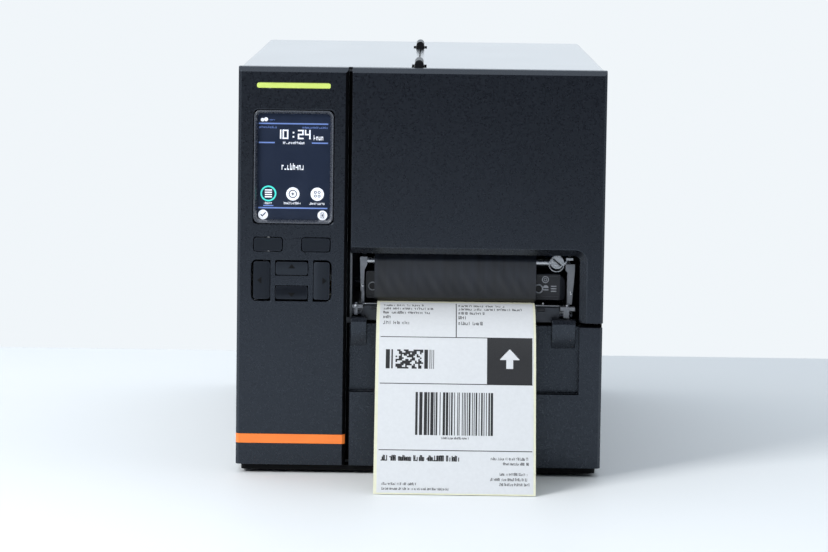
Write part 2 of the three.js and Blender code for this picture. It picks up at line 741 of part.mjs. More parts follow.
function sidePlateRight() {
  const arm = outline([
    [101, 116.4], [103.2, 116.4], [104.9, 139], [104.9, 143.9], [98.6, 143.9], [98.6, 139.5],
    [100.6, 138],
  ]);
  return joined(
    cut(
      acrossX([...PLATE_BACK, ...LEVER_EAR, ...PLATE_FRONT], ...RIGHT_PLATE),
      rodX(RIGHT_PLATE[0] - 1, RIGHT_PLATE[1] + 1, PLATEN, PLATEN_SHAFT_R + 1),
    ),
    throughY(arm, ...ARM),
    block(95.3, 105.2, ...BRACKET),
    block(97.5, 101.3, BRACKET[0], STEM_BACK, 107.6, BRACKET[2] + 0.1),
    rodX(84, RIGHT_PLATE[0] + 0.5, LEVER_PIVOT, LEVER_STUB_R),
  );
}

function tearBar() {
  return acrossX([
    [9.5, 115.2], [13.3, 114.2], [13.3, 104], [14.8, 104], [14.8, 115.9], [9.5, 115.9],
  ], -38.6, 94.9);
}

add("platen_bed", platenBed(), 0x6d7278, 0.6, 0.6);
add("side_plate_left", sidePlateLeft(), STEEL, 0.35, 0.9);
add("side_plate_right", sidePlateRight(), STEEL, 0.35, 0.9);
add("tear_bar", tearBar(), STEEL, 0.3, 0.9);
add("platen_shaft", rodX(-64, 104, PLATEN, PLATEN_SHAFT_R), STEEL, 0.3, 0.9);
add("platen_rubber",
  cut(rodX(-33, 81, PLATEN, PLATEN_R, 32), rodX(-34, 82, PLATEN, PLATEN_SHAFT_R + GAP)),
  0x3a332f, 0.8);

// ---- Print head, hung on the pivot shaft ----
const CARRIER_X0 = -31;
const CARRIER_X1 = 78.6;
const CAP_DEPTHS = [20.5, 50]; // front and back of the head's end caps

function headCarrier() {
  const side = [
    [22, 122.3], [62, 122.3], [74, 125], [82, 125.2], [85.5, 129], [85.5, 135],
    [82, 139], [74, 139], [62, 137], [24, 137], [22, 135],
  ];
  const leftCap = cut(
    throughY(roundRect(-37.1, CARRIER_X0 + 1, 118.4, 136.9, 1.5), ...CAP_DEPTHS),
    block(CARRIER_X0, CARRIER_X0 + 2, 20, 51, 117, 122.3),
  );
  return cut(
    joined(acrossX(side, CARRIER_X0, CARRIER_X1), leftCap),
    rodX(CARRIER_X0 - 7, CARRIER_X1 + 1, HEAD_PIVOT, PIVOT_SHAFT_R + 0.6),
    block(-13, 21, 30, 66, 126, 141),
    block(27, 61, 30, 66, 126, 141),
  );
}

function headCapRight() {
  const face = outline([
    [78.9, 118.5], [99.1, 118.5], [99.1, 131.5], [95, 136.2], [78.9, 136.2],
  ]);
  const corner = outline([
    [94, behind(19)], [101, behind(19)], [101, behind(27.5)], [99.1, behind(26)],
    [95, behind(20.5)],
  ]);
  return cut(throughY(face, ...CAP_DEPTHS), extrude(corner, "xyz", 117, 138));
}

const KNOB_DEPTH = 48;
const KNOB_R = 7;
const KNOB_FOOT = 137.3;
const KNOB_TOP = 149;
const KNOB_FLUTES = 6;

function pressureKnob(x) {
  let knob = rodZ(x, KNOB_DEPTH, KNOB_FOOT, KNOB_TOP, KNOB_R, 24);
  for (let i = 0; i < KNOB_FLUTES; i++) {
    const t = (i * 2 * Math.PI) / KNOB_FLUTES;
    const fluteX = x + (KNOB_R + 1) * Math.cos(t);
    const fluteDepth = KNOB_DEPTH + (KNOB_R + 1) * Math.sin(t);
    knob = cut(knob, rodZ(fluteX, fluteDepth, KNOB_FOOT + 2.7, KNOB_TOP + 1, 2, 10));
  }
  return knob;
}

// The lever lies back at rest and swings up and forward to lift the head.
const LEVER_X = [86, 97];
const LEVER_LONG = 48;
const LEVER_HUB_R = 8;
const LEVER_LEAN = 20;

function headLever() {
  const [d, z] = LEVER_PIVOT;
  const lean = (LEVER_LEAN * Math.PI) / 180;
  const along = (a, b) => [
    d + a * Math.cos(lean) - b * Math.sin(lean),
    z + a * Math.sin(lean) + b * Math.cos(lean),
  ];
  const tip = LEVER_LONG - 4;
  const arm = acrossX(
    [along(0, -4), along(tip, -3), along(LEVER_LONG, 0), along(tip, 3), along(0, 4)],
    ...LEVER_X,
  );
  return cut(
    joined(rodX(...LEVER_X, LEVER_PIVOT, LEVER_HUB_R), arm),
    rodX(LEVER_X[0] - 1, LEVER_X[1] + 1, LEVER_PIVOT, LEVER_STUB_R + 0.5),
  );
}

add("head_carrier", headCarrier(), MECH_BLACK, 0.5);
add("thermal_head", block(CARRIER_X0, CARRIER_X1, 20.5, 46, 117.9, 122), ZINC, 0.4, 0.8);
add("head_cap_right", headCapRight(), MECH_BLACK, 0.45);
add("pressure_knob_left", pressureKnob(-22), 0x2d5f8a, 0.5);
add("pressure_knob_right", pressureKnob(70), 0x2d5f8a, 0.5);
add("head_lever", headLever(), 0x2d5f8a, 0.5);

// ---- Ribbon path ----
const ROD_R = 2.5;
const SCREW = [92.7, 145.2];
const SCREW_R = 4.6;
const SCREW_FRONT = 14.2;

function ribbonGuideRod() {
  const [x, z] = SCREW;
  const slot = throughY(outline([[x - 6, z + 3.6], [x + 4.4, z - 5], [x + 5.6, z - 3.6],
    [x - 4.8, z + 5]]), SCREW_FRONT - 1.2, SCREW_FRONT + 1.2);
  const screw = cut(rodY(x, z, SCREW_FRONT, 20, SCREW_R), slot);
  return joined(rodX(-37.7, 99.7, FRONT_ROD, ROD_R), screw);
}

// A spindle with a drive shaft through the wall, a flange and three grooves along its barrel.
const BARREL_R = 11.8;
const BARREL_END = 86;
const FLANGE_R = 16;

function ribbonSpindle(at) {
  const fins = [];
  for (let i = 0; i < 3; i++) {
    const t = (i * 2 * Math.PI) / 3 + Math.PI / 6;
    const reach = [at[0] + BARREL_R * Math.cos(t), at[1] + BARREL_R * Math.sin(t)];
    fins.push(rodX(-38, BARREL_END + 4, reach, 2.2, 8));
  }
  const core = joined(
    rodX(-60, -40, at, SPINDLE_SHAFT_R), rodX(-45.6, -41, at, FLANGE_R),
    rodX(-42, BARREL_END, at, BARREL_R),
  );
  return cut(core, ...fins);
}

const SUPPLY_R = 28;
const REWIND_R = 22;
const FILM_THICK = 0.5;

function filmRoll(at, r) {
  return cut(rodX(RIBBON_X0, RIBBON_X1, at, r, 40), rodX(-40, 90, at, BARREL_R + 0.6));
}

// The ribbon runs from the supply roll under the head, up the front and back to the rewind.
function ribbonWeb() {
  const low = WEB_Z + 0.75;
  const supplyEdge = SUPPLY_R + 0.6;
  const towards = 22.3;
  return web([
    onCircle(SUPPLY, supplyEdge, towards - 90),
    ...arc(REAR_ROD, REAR_ROD[1] - low, towards - 90, -90, 3),
    [60, low], [30, low],
    ...arc([19, low + 2.8], 2.8, -90, -180, 4),
    ...arc(FRONT_ROD, 3.3, 180, 137.9, 3),
    onCircle(REWIND, REWIND_R + 0.6, 137.9),
  ], FILM_THICK, RIBBON_X0, RIBBON_X1);
}

add("ribbon_guide_rod", ribbonGuideRod(), STEEL, 0.25, 0.95);
add("ribbon_rear_rod", rodX(WALL_RIGHT + GAP, 84, REAR_ROD, 3), STEEL, 0.25, 0.95);
add("rewind_spindle", ribbonSpindle(REWIND), 0x3a3d42, 0.5);
add("supply_spindle", ribbonSpindle(SUPPLY), 0x3a3d42, 0.5);
add("ribbon_rewind_roll", filmRoll(REWIND, REWIND_R), 0x15161a, 0.35);
add("ribbon_supply_roll", filmRoll(SUPPLY, SUPPLY_R), 0x15161a, 0.35);
add("ribbon_web", ribbonWeb(), 0x24272d, 0.4);

// ---- Label path ----
const SPINDLE_R = 12;
const PAPER_THICK = 0.5;
const BEND_R = 56;
const HANG_ANGLE = 64;
const EXIT = 12; // the web starts to bend down at this depth

function mediaSpindle() {
  return joined(
    rodX(WALL_RIGHT + GAP, -42, ROLL, 20), rodX(-43, 108, ROLL, SPINDLE_R),
    rodX(107, 110, ROLL, 13.5),
  );
}

function rollGuard() {
  return cut(
    joined(rodX(79, 82, ROLL, 45, 40), rodX(81, 90, ROLL, 18)),
    rodX(78, 91, ROLL, SPINDLE_R + 0.6),
  );
}

function mediaGuide() {
  const body = block(79, 90, 142, 158, 104, 121);
  return cut(body, rodX(78, 91, GUIDE_ROD, 4.4));
}

function damperArm() {
  const [pd, pz] = DAMPER_PIVOT;
  const [bd, bz] = DAMPER_BAR;
  const w = 4.2;
  const arm = acrossX([[pd - w, pz - w], [bd - w, bz - w], [bd + w, bz + w], [pd + w, pz + w]],
    -45.4, -38);
  return joined(
    arm, rodX(-45.4, -38, DAMPER_PIVOT, 7), rodX(-49.5, -40, DAMPER_PIVOT, 3, 16),
    rodX(-40, 79, DAMPER_BAR, 5),
  );
}

// The label web leaves the roll, dips under the damper, crosses the platen, bends over the
// tear bar and hangs down in front until its end rests on the table.
function labelWeb() {
  const bend = [EXIT, WEB_Z - BEND_R];
  return web([
    onCircle(ROLL, ROLL_R + 0.6, 119.1),
    ...arc(DAMPER_BAR, 5.6, -60.9, -96, 4),
    [152, WEB_Z + 0.25], [148, WEB_Z],
    [PLATEN[0], WEB_Z],
    ...arc(bend, BEND_R, 90, 90 + HANG_ANGLE, 16),
    [0.25 - LABEL_REACH, 0.4],
  ], PAPER_THICK, MEDIA_X0, MEDIA_X1);
}

add("media_spindle", mediaSpindle(), 0x3a3d42, 0.5);
add("label_roll", cut(rodX(MEDIA_X0, MEDIA_X1, ROLL, ROLL_R, 48), rodX(-40, 90, ROLL, 12.7)),
  0xeff0ec, 0.8);
add("roll_guard", rollGuard(), 0x2f3338, 0.5);
add("media_guide_rod", rodX(WALL_RIGHT + GAP, 104, GUIDE_ROD, 4), STEEL, 0.25, 0.95);
add("media_guide", mediaGuide(), 0x2f3338, 0.5);
add("damper_arm", damperArm(), 0x3a3d42, 0.5);
add("label_web", labelWeb(), 0xf2f4f4, 0.7);

export default printer;
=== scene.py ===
"""Desktop thermal-transfer label printer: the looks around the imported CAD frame, in metres."""
import json
import math
import random

import bmesh
import bpy
from mathutils import Matrix, Vector


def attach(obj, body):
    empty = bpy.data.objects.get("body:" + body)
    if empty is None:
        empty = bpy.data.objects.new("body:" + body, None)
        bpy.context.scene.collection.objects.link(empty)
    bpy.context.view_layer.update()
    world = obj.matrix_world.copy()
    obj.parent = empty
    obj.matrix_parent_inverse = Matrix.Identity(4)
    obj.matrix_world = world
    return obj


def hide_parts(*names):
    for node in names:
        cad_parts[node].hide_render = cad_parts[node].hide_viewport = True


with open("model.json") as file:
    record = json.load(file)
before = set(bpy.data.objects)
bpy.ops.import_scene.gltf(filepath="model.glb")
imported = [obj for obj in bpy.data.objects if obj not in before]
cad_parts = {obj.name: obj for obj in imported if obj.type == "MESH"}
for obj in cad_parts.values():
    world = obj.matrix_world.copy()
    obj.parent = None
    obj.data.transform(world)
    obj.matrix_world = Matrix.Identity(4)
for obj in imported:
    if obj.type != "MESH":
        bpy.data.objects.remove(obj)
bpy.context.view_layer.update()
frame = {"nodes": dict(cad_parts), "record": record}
NODES = frame["nodes"]
MM = 0.001

# ---- Camera ----
CAMERA_PLACE = (0.002527, -2.5075, 0.3914)
CAMERA_YAW = math.radians(-0.16927)
CAMERA_PITCH = math.radians(6.2552)
CAMERA_ROLL = math.radians(0.77592)
CAMERA_LENS = 150.78
SENSOR_WIDTH = 36.0


def add_object(name, data):
    made = bpy.data.objects.new(name, data)
    bpy.context.scene.collection.objects.link(made)
    return made


def make_camera():
    cam = add_object("camera", bpy.data.cameras.new("camera"))
    cam.data.lens = CAMERA_LENS
    cam.data.sensor_width = SENSOR_WIDTH
    cam.data.clip_start = 0.05
    cam.data.clip_end = 60
    yaw, pitch, roll = CAMERA_YAW, CAMERA_PITCH, CAMERA_ROLL
    level = math.cos(pitch)
    ahead = Vector((math.sin(yaw) * level, math.cos(yaw) * level, -math.sin(pitch)))
    flat_right = Vector((math.cos(yaw), -math.sin(yaw), 0))
    flat_up = flat_right.cross(ahead)
    right = math.cos(roll) * flat_right + math.sin(roll) * flat_up
    up = math.cos(roll) * flat_up - math.sin(roll) * flat_right
    turn = Matrix((right, up, -ahead)).transposed().to_4x4()
    cam.matrix_world = Matrix.Translation(CAMERA_PLACE) @ turn
    bpy.context.scene.camera = cam


make_camera()
bpy.context.scene.view_settings.view_transform = "Standard"

FRONT = -178 * MM  # the front face, as a Y in the frame


# ---- Node helpers for materials ----
def add_node(tree, kind, inputs=None, **settings):
    """A new node: settings are its own properties, inputs are values or sockets by input name."""
    made = tree.nodes.new(kind)
    for key, value in settings.items():
        setattr(made, key, value)
    for key, value in (inputs or {}).items():
        if isinstance(value, bpy.types.NodeSocket):
            tree.links.new(value, made.inputs[key])
        else:
            made.inputs[key].default_value = value
    return made


def colour_ramp(tree, value, stops):
    made = add_node(tree, "ShaderNodeValToRGB", {"Fac": value})
    band = made.color_ramp
    while len(band.elements) < len(stops):
        band.elements.new(0.5)
    for element, (at, colour) in zip(band.elements, stops):
        element.position = at
        shade = colour if hasattr(colour, "__len__") else (colour, colour, colour)
        element.color = (*shade, 1)
    return made.outputs["Color"]


class Shade:
    """A material under construction: makes nodes and joins them to the Principled shader."""

    def __init__(self, name):
        self.material = bpy.data.materials.new(name)
        self.material.use_nodes = True
        self.tree = self.material.node_tree
        self.shader = self.tree.nodes["Principled BSDF"]
        self.place = self.node("ShaderNodeTexCoord").outputs["Object"]
        self.normal = None

    def node(self, kind, inputs=None, **settings):
        return add_node(self.tree, kind, inputs, **settings)

    def link(self, source, target):
        self.tree.links.new(source, target)

    def set(self, **values):
        for key, value in values.items():
            self.shader.inputs[key.replace("_", " ")].default_value = value
        return self

    def mapped(self, **values):
        return self.node("ShaderNodeMapping", {"Vector": self.place, **values}).outputs["Vector"]

    def noise(self, scale, detail=4.0, stretch=(1, 1, 1), distortion=0.0):
        place = self.mapped(Scale=stretch)
        values = {"Scale": scale, "Detail": detail, "Distortion": distortion, "Vector": place}
        return self.node("ShaderNodeTexNoise", values).outputs["Fac"]

    def cells(self, scale):
        values = {"Scale": scale, "Vector": self.mapped()}
        return self.node("ShaderNodeTexVoronoi", values).outputs["Distance"]

    def ramp(self, value, stops):
        return colour_ramp(self.tree, value, stops)

    def mix(self, share, first, second, how="MIX"):
        made = self.node("ShaderNodeMix", data_type="RGBA", blend_type=how)
        for value, socket in ((share, made.inputs[0]), (first, made.inputs[6]), (second, made.inputs[7])):
            if isinstance(value, bpy.types.NodeSocket):
                self.link(value, socket)
            elif hasattr(value, "__len__"):
                socket.default_value = (*value, 1)
            else:
                socket.default_value = value
        return made.outputs[2]

    def bump(self, height, strength, distance):
        values = {"Strength": strength, "Distance": distance, "Height": height}
        if self.normal is not None:
            values["Normal"] = self.normal
        self.normal = self.node("ShaderNodeBump", values).outputs["Normal"]
        self.link(self.normal, self.shader.inputs["Normal"])
        return self

    def edges(self, radius):
        """1 along the convex and concave edges and 0 on flat faces."""
        bevel = self.node("ShaderNodeBevel", {"Radius": radius}, samples=4).outputs["Normal"]
        flat = self.node("ShaderNodeNewGeometry").outputs["Normal"]
        dot = self.node("ShaderNodeVectorMath", {0: bevel, 1: flat}, operation="DOT_PRODUCT")
        return self.ramp(dot.outputs["Value"], [(0.80, 1.0), (0.985, 0.0)])

    def colour(self, source):
        self.link(source, self.shader.inputs["Base Color"])
        return self

    def rough(self, source):
        self.link(source, self.shader.inputs["Roughness"])
        return self


def linear(red, green, blue):
    """An sRGB colour of 0 to 255 as linear light."""
    def one(value):
        share = value / 255
        return share / 12.92 if share <= 0.04045 else ((share + 0.055) / 1.055) ** 2.4
    return (one(red), one(green), one(blue))


def lighter(colour, share):
    return tuple(min(1.0, part * share) for part in colour)


def moulded(name, colour, rough=0.5, grain=1400, depth=0.00006, edge_highlight=None, specular=0.5, tint=None):
    """Textured moulded plastic: fine grain, slow colour drift and, when given, painted highlights that
    lighten the edges.
    """
    shade = Shade(name).set(Specular_IOR_Level=specular)
    if tint is not None:
        shade.set(Specular_Tint=(*tint, 1))
    drift = shade.noise(9, 3)
    base = shade.ramp(drift, [(0.3, lighter(colour, 0.86)), (0.7, lighter(colour, 1.14))])
    speck = shade.ramp(shade.cells(grain * 1.1), [(0.16, 1.35), (0.42, 1.0), (0.75, 0.82)])
    base = shade.mix(1.0, base, speck, "MULTIPLY")
    # painted highlight: the edges are lightened towards the given colour, for the light that chamfers
    # catch
    if edge_highlight is not None:
        base = shade.mix(shade.mix(0.6, (0, 0, 0), shade.edges(0.0006)), base, edge_highlight)
    shade.colour(base)
    spots = shade.noise(grain * 0.6, 2)
    shade.rough(shade.ramp(spots, [(0.3, rough - 0.06), (0.7, rough + 0.07)]))
    shade.bump(shade.noise(grain, 2), 0.4, depth)
    return shade.material


def painted(name, colour, rough=0.34, coat=0.0, orange_peel=0.35, specular=0.6):
    """Powder-coated sheet steel: a fine orange peel, a few faint rubs and satin gloss."""
    shade = Shade(name).set(Specular_IOR_Level=specular, Coat_Weight=coat, Coat_Roughness=0.13)
    drift = shade.noise(6, 4)
    base = shade.ramp(drift, [(0.3, lighter(colour, 0.88)), (0.7, lighter(colour, 1.12))])
    base = shade.mix(shade.mix(0.5, (0, 0, 0), shade.edges(0.0005)), base, lighter(colour, 3.2))
    shade.colour(base)
    rubs = shade.noise(18, 2, stretch=(1, 0.3, 1))
    shade.rough(shade.ramp(rubs, [(0.25, rough - 0.02), (0.75, rough + 0.03)]))
    shade.bump(shade.noise(900, 2), orange_peel, 0.00003)
    return shade.material


def metal(name, colour, rough=0.3, brushed=(1, 1, 1), tarnish=0.12):
    """Bare metal with brush marks along one axis and slight tarnish."""
    shade = Shade(name).set(Metallic=1.0)
    stain = shade.noise(55, 5)
    base = shade.ramp(stain, [(0.3, lighter(colour, 1 - tarnish * 2)), (0.7, colour)])
    shade.colour(base)
    marks = shade.noise(1500, 3, stretch=brushed)
    shade.rough(shade.ramp(marks, [(0.25, rough - 0.08), (0.75, rough + 0.12)]))
    shade.bump(marks, 0.15, 0.00002)
    return shade.material


def rubber(name, colour, rough=0.7):
    shade = Shade(name).set(Specular_IOR_Level=0.35)
    dust = shade.noise(160, 6)
    shade.colour(shade.ramp(dust, [(0.35, colour), (0.75, lighter(colour, 1.8))]))
    shade.rough(shade.ramp(dust, [(0.3, rough - 0.08), (0.7, rough + 0.08)]))
    shade.bump(shade.noise(2200, 2), 0.5, 0.00005)
    return shade.material


BODY = linear(13, 14, 19)
SKIN = linear(24, 26, 31)
# painted reflection: a blue tint on the plastics' reflections, for the bluish table and surroundings they
# reflect
BLUE_REFLECTION_TINT = (0.72, 0.83, 1.0)
# painted highlight: the colour that the keys' edges are lightened to
KEY_EDGE_HIGHLIGHT = linear(74, 79, 90)


def label_stock(name, colour):
    """Coated label paper: almost smooth, with very fine fibre and a soft sheen."""
    shade = Shade(name).set(Specular_IOR_Level=0.4)
    fibre = shade.noise(420, 5)
    shade.colour(shade.ramp(fibre, [(0.3, lighter(colour, 0.96)), (0.7, colour)]))
    shade.rough(shade.ramp(fibre, [(0.3, 0.42), (0.7, 0.56)]))
    return shade.bump(shade.noise(2600, 2), 0.3, 0.00002).material


FILM_FOOT = 118 * MM  # painted shade: the ribbon's colour darkens from the next height down to this one, for the shade where it curves under the head
FILM_SHADE_TOP = 140 * MM


def film(name):
    """Waxy ribbon: dark, with long streaks down the web, a soft uneven sheen and painted shade darkening
    its colour towards the foot.
    """
    shade = Shade(name).set(Specular_IOR_Level=0.55, Coat_Weight=0.2, Coat_Roughness=0.3)
    streak = shade.noise(60, 4, stretch=(4.5, 1, 0.12), distortion=0.3)
    base = shade.ramp(streak, [(0.3, linear(27, 30, 37)), (0.72, linear(39, 44, 55))])
    split = shade.node("ShaderNodeSeparateXYZ", {0: shade.place})
    height = shade.node("ShaderNodeMapRange", {
        "Value": split.outputs["Z"], "From Min": FILM_FOOT, "From Max": FILM_SHADE_TOP,
    })
    # painted shade: the colour darkens towards the foot of the film, where it curves under the head
    painted_foot_shade = shade.ramp(height.outputs["Result"], [(0.0, 0.3), (0.35, 0.6), (0.8, 1.0)])
    shade.colour(shade.mix(1.0, base, painted_foot_shade, "MULTIPLY"))
    shade.rough(shade.ramp(streak, [(0.3, 0.3), (0.7, 0.48)]))
    return shade.bump(streak, 0.25, 0.0002).material


def glow(name, colour, power, rough=0.35):
    """A moulded light guide or a lit mark, slightly uneven along its length; on the orange inlay its glow
    is painted light.
    """
    shade = Shade(name).set(Roughness=rough, Emission_Strength=power)
    drift = shade.noise(70, 3)
    lit = shade.ramp(drift, [(0.3, lighter(colour, 0.9)), (0.7, colour)])
    shade.colour(lit)
    shade.link(lit, shade.shader.inputs["Emission Color"])
    return shade.material


def wound(name, dark, pale, centre):
    """The end of a roll: fine rings about its axis, with a few layers standing out."""
    shade = Shade(name).set(Specular_IOR_Level=0.35)
    depth, z = centre
    about = shade.mapped(Location=(0, -(FRONT + depth * MM), -z * MM), Scale=(0, 1, 1))
    values = {"Scale": 420, "Distortion": 1.2, "Detail": 3, "Vector": about}
    rings = shade.node("ShaderNodeTexWave", values, wave_type="RINGS", rings_direction="SPHERICAL")
    shade.colour(shade.ramp(rings.outputs["Fac"], [(0.1, dark), (0.8, pale)]))
    shade.rough(shade.ramp(shade.noise(300), [(0.3, 0.5), (0.7, 0.7)]))
    return shade.bump(rings.outputs["Fac"], 0.3, 0.0001).material


def glass(name, colour, rough=0.08):
    """Smooth dark glass with faint fingermarks."""
    shade = Shade(name).set(Specular_IOR_Level=0.5, Coat_Weight=0.3, Coat_Roughness=0.05)
    smear = shade.noise(45, 5, distortion=0.6)
    shade.colour(shade.ramp(smear, [(0.3, lighter(colour, 0.9)), (0.7, lighter(colour, 1.1))]))
    shade.rough(shade.ramp(smear, [(0.35, rough), (0.75, rough + 0.1)]))
    return shade.material


def smoked(name):
    """The tinted window: see-through, with the same faint marks."""
    shade = Shade(name).set(Transmission_Weight=0.85, IOR=1.45)
    smear = shade.noise(30, 5, distortion=0.5)
    shade.colour(shade.ramp(smear, [(0.3, linear(88, 94, 100)), (0.7, linear(104, 110, 116))]))
    shade.rough(shade.ramp(smear, [(0.35, 0.05), (0.75, 0.14)]))
    return shade.material


def board(name):
    """Lacquered circuit board: solder mask with a faint pattern of tracks."""
    shade = Shade(name).set(Coat_Weight=0.4, Coat_Roughness=0.15)
    tracks = shade.node("ShaderNodeTexBrick", {
        "Vector": shade.mapped(Rotation=(0, math.radians(90), 0)),
        "Scale": 160, "Mortar Size": 0.03, "Mortar": (*linear(52, 128, 84), 1),
        "Color1": (*linear(24, 84, 54), 1), "Color2": (*linear(28, 92, 58), 1),
    })
    shade.colour(tracks.outputs["Color"])
    shade.rough(shade.ramp(shade.noise(200), [(0.3, 0.3), (0.7, 0.45)]))
    return shade.bump(tracks.outputs["Fac"], 0.3, 0.00005).material


ROLL_AT = (318, 112)  # depth and z of each roll's axis
REWIND_AT = (100, 205)
SUPPLY_AT = (230, 205)
FINISHES = {
    "body_plastic": (moulded, BODY, 0.3, 1400, 0.00003, linear(66, 70, 80), 0.76, BLUE_REFLECTION_TINT),
    "key_plastic": (moulded, linear(14, 16, 21), 0.34, 1900, 0.00003, KEY_EDGE_HIGHLIGHT, 0.5, BLUE_REFLECTION_TINT),
    "skin_metal": (painted, SKIN, 0.24, 1.0, 0.22),
    # painted shade: the base is a darker copy of the painted skin, with weak reflections, for the shadow
    # under the body
    "base_metal": (painted, linear(10, 11, 14), 0.6, 0.0, 0.35, 0.15),
    "foot_rubber": (rubber, linear(24, 24, 26)),
    "hinge_black": (painted, linear(18, 19, 22), 0.38),
    "cast_metal": (metal, linear(158, 161, 167), 0.5, (1, 1, 1), 0.2),
    "bright_steel": (metal, linear(202, 205, 210), 0.26, (0.25, 1, 1), 0.2),
    "dark_steel": (metal, linear(88, 91, 97), 0.38, (0.25, 1, 1), 0.2),
    "black_plastic": (moulded, linear(30, 32, 38), 0.36, 1500, 0.00004, linear(105, 109, 118)),
    "inlet_black": (moulded, linear(24, 25, 28), 0.45, 1500),
    "touch_blue": (moulded, linear(44, 110, 170), 0.42, 1500),
    "platen_rubber": (rubber, linear(30, 31, 34), 0.6),
    "gear_white": (moulded, linear(226, 222, 208), 0.45, 900),
    "gear_brass": (metal, linear(214, 176, 96), 0.32),
    "motor_black": (painted, linear(36, 37, 40), 0.45),
    "supply_steel": (metal, linear(176, 180, 184), 0.4, (1, 0.08, 1)),
    # painted light: the orange inlay is no lamp, yet it glows a little
    "stripe_orange": (glow, linear(250, 132, 56), 0.3, 0.42),
    "light_green": (glow, linear(196, 216, 110), 0.42),
    "display_glass": (glass, linear(40, 49, 68)),
    "window_smoke": (smoked,),
    "board_green": (board,),
    "ribbon_film": (film,),
    "label_paper": (label_stock, linear(233, 236, 239)),
    "liner_paper": (label_stock, linear(244, 244, 218)),
    "label_roll_side": (wound, linear(205, 206, 200), linear(245, 245, 240), ROLL_AT),
    "rewind_roll_side": (wound, linear(14, 15, 17), linear(40, 42, 48), REWIND_AT),
    "supply_roll_side": (wound, linear(14, 15, 17), linear(40, 42, 48), SUPPLY_AT),
    "kraft_card": (label_stock, linear(176, 142, 98)),
    "ink_black": (moulded, linear(38, 39, 42), 0.5, 2200, 0.00001),
    "key_mark": (moulded, linear(6, 7, 9), 0.6, 1800, 0.00002, None, 0.2),
    "screen_white": (glow, linear(228, 232, 240), 0.55),
    "screen_blue": (glow, linear(108, 134, 196), 0.4),
    "screen_teal": (glow, linear(70, 206, 196), 0.6),
    "screen_slate": (glow, linear(48, 58, 82), 0.12),
    # painted highlight: a lighter copy of the black plastic for the cap's sloped faces
    "cap_slope": (moulded, linear(62, 65, 72), 0.4, 1500, 0.00004),
    "mark_grey": (moulded, linear(150, 154, 161), 0.5, 1600, 0.00002),
    # painted highlight: a lighter copy of the body plastic, with still lighter edges, for the screen's
    # flared lip
    "screen_edge": (moulded, linear(66, 70, 79), 0.26, 1600, 0.00002, linear(150, 155, 166), 0.9),
    "seam_shadow": (moulded, linear(9, 9, 12), 0.7, 1500, 0.00004, None, 0.08),
    "gold_contact": (metal, linear(222, 186, 104), 0.3),
    "socket_dark": (moulded, linear(20, 21, 24), 0.5, 1500),
    "wall_paint": (painted, linear(150, 154, 160), 0.45),
}
MATERIALS = {name: make(name, *values) for name, (make, *values) in FINISHES.items()}

# ---- CAD nodes: their own finish, rounded edges and smooth round parts ----
SOFT_EDGE = 0.25 * MM
SEAM = (-54 * MM, -46 * MM)  # the upright gap beside the control panel
KEY_EDGE = 0.7 * MM
OTHER_FINISH = {
    "centre_wall": "wall_paint",
    "label_web": "liner_paper",
    "tear_bar": "dark_steel",
    "side_plate_left": "cast_metal",
    "side_plate_right": "cast_metal",
    "platen_bed": "dark_steel",
}
ROLL_SIDES = {
    "label_roll": "label_roll_side",
    "ribbon_rewind_roll": "rewind_roll_side",
    "ribbon_supply_roll": "supply_roll_side",
}
SEAM_SIDES = ("front_bezel", "cover_front", "lower_front")
SHARP_NODES = ("ribbon_web", "label_web", "platen_gear", "motor_pinion")


def smoothing_group(name, most):
    """Welds the imported triangles and shades every edge below an angle as smooth."""
    group = bpy.data.node_groups.new(name, "GeometryNodeTree")
    group.interface.new_socket("Geometry", in_out="INPUT", socket_type="NodeSocketGeometry")
    group.interface.new_socket("Geometry", in_out="OUTPUT", socket_type="NodeSocketGeometry")
    make = group.nodes.new
    entry, leave = make("NodeGroupInput"), make("NodeGroupOutput")
    bare = make("GeometryNodeRemoveAttribute")
    bare.inputs["Name"].default_value = "custom_normal"
    weld = make("GeometryNodeMergeByDistance")
    weld.inputs["Distance"].default_value = 0.00001
    faces = make("GeometryNodeSetShadeSmooth")
    edges = make("GeometryNodeSetShadeSmooth")
    edges.domain = "EDGE"
    angle = make("GeometryNodeInputMeshEdgeAngle")
    below = make("FunctionNodeCompare")
    below.operation = "LESS_THAN"
    below.inputs["B"].default_value = math.radians(most)
    join = group.links.new
    join(angle.outputs["Unsigned Angle"], below.inputs["A"])
    join(below.outputs["Result"], edges.inputs["Shade Smooth"])
    join(entry.outputs[0], bare.inputs["Geometry"])
    join(bare.outputs[0], weld.inputs["Geometry"])
    join(weld.outputs[0], faces.inputs["Geometry"])
    join(faces.outputs[0], edges.inputs["Geometry"])
    join(edges.outputs[0], leave.inputs[0])
    return group


SMOOTHING = smoothing_group("weld_and_smooth", 38)
PANEL_SMOOTHING = smoothing_group("weld_and_smooth_panels", 20)


def round_edges(made, width, harden=False):
    bevel = made.modifiers.new("edge", "BEVEL")
    bevel.width = width
    bevel.segments = 2
    bevel.limit_method = "ANGLE"
    bevel.angle_limit = math.radians(40)
    bevel.harden_normals = harden


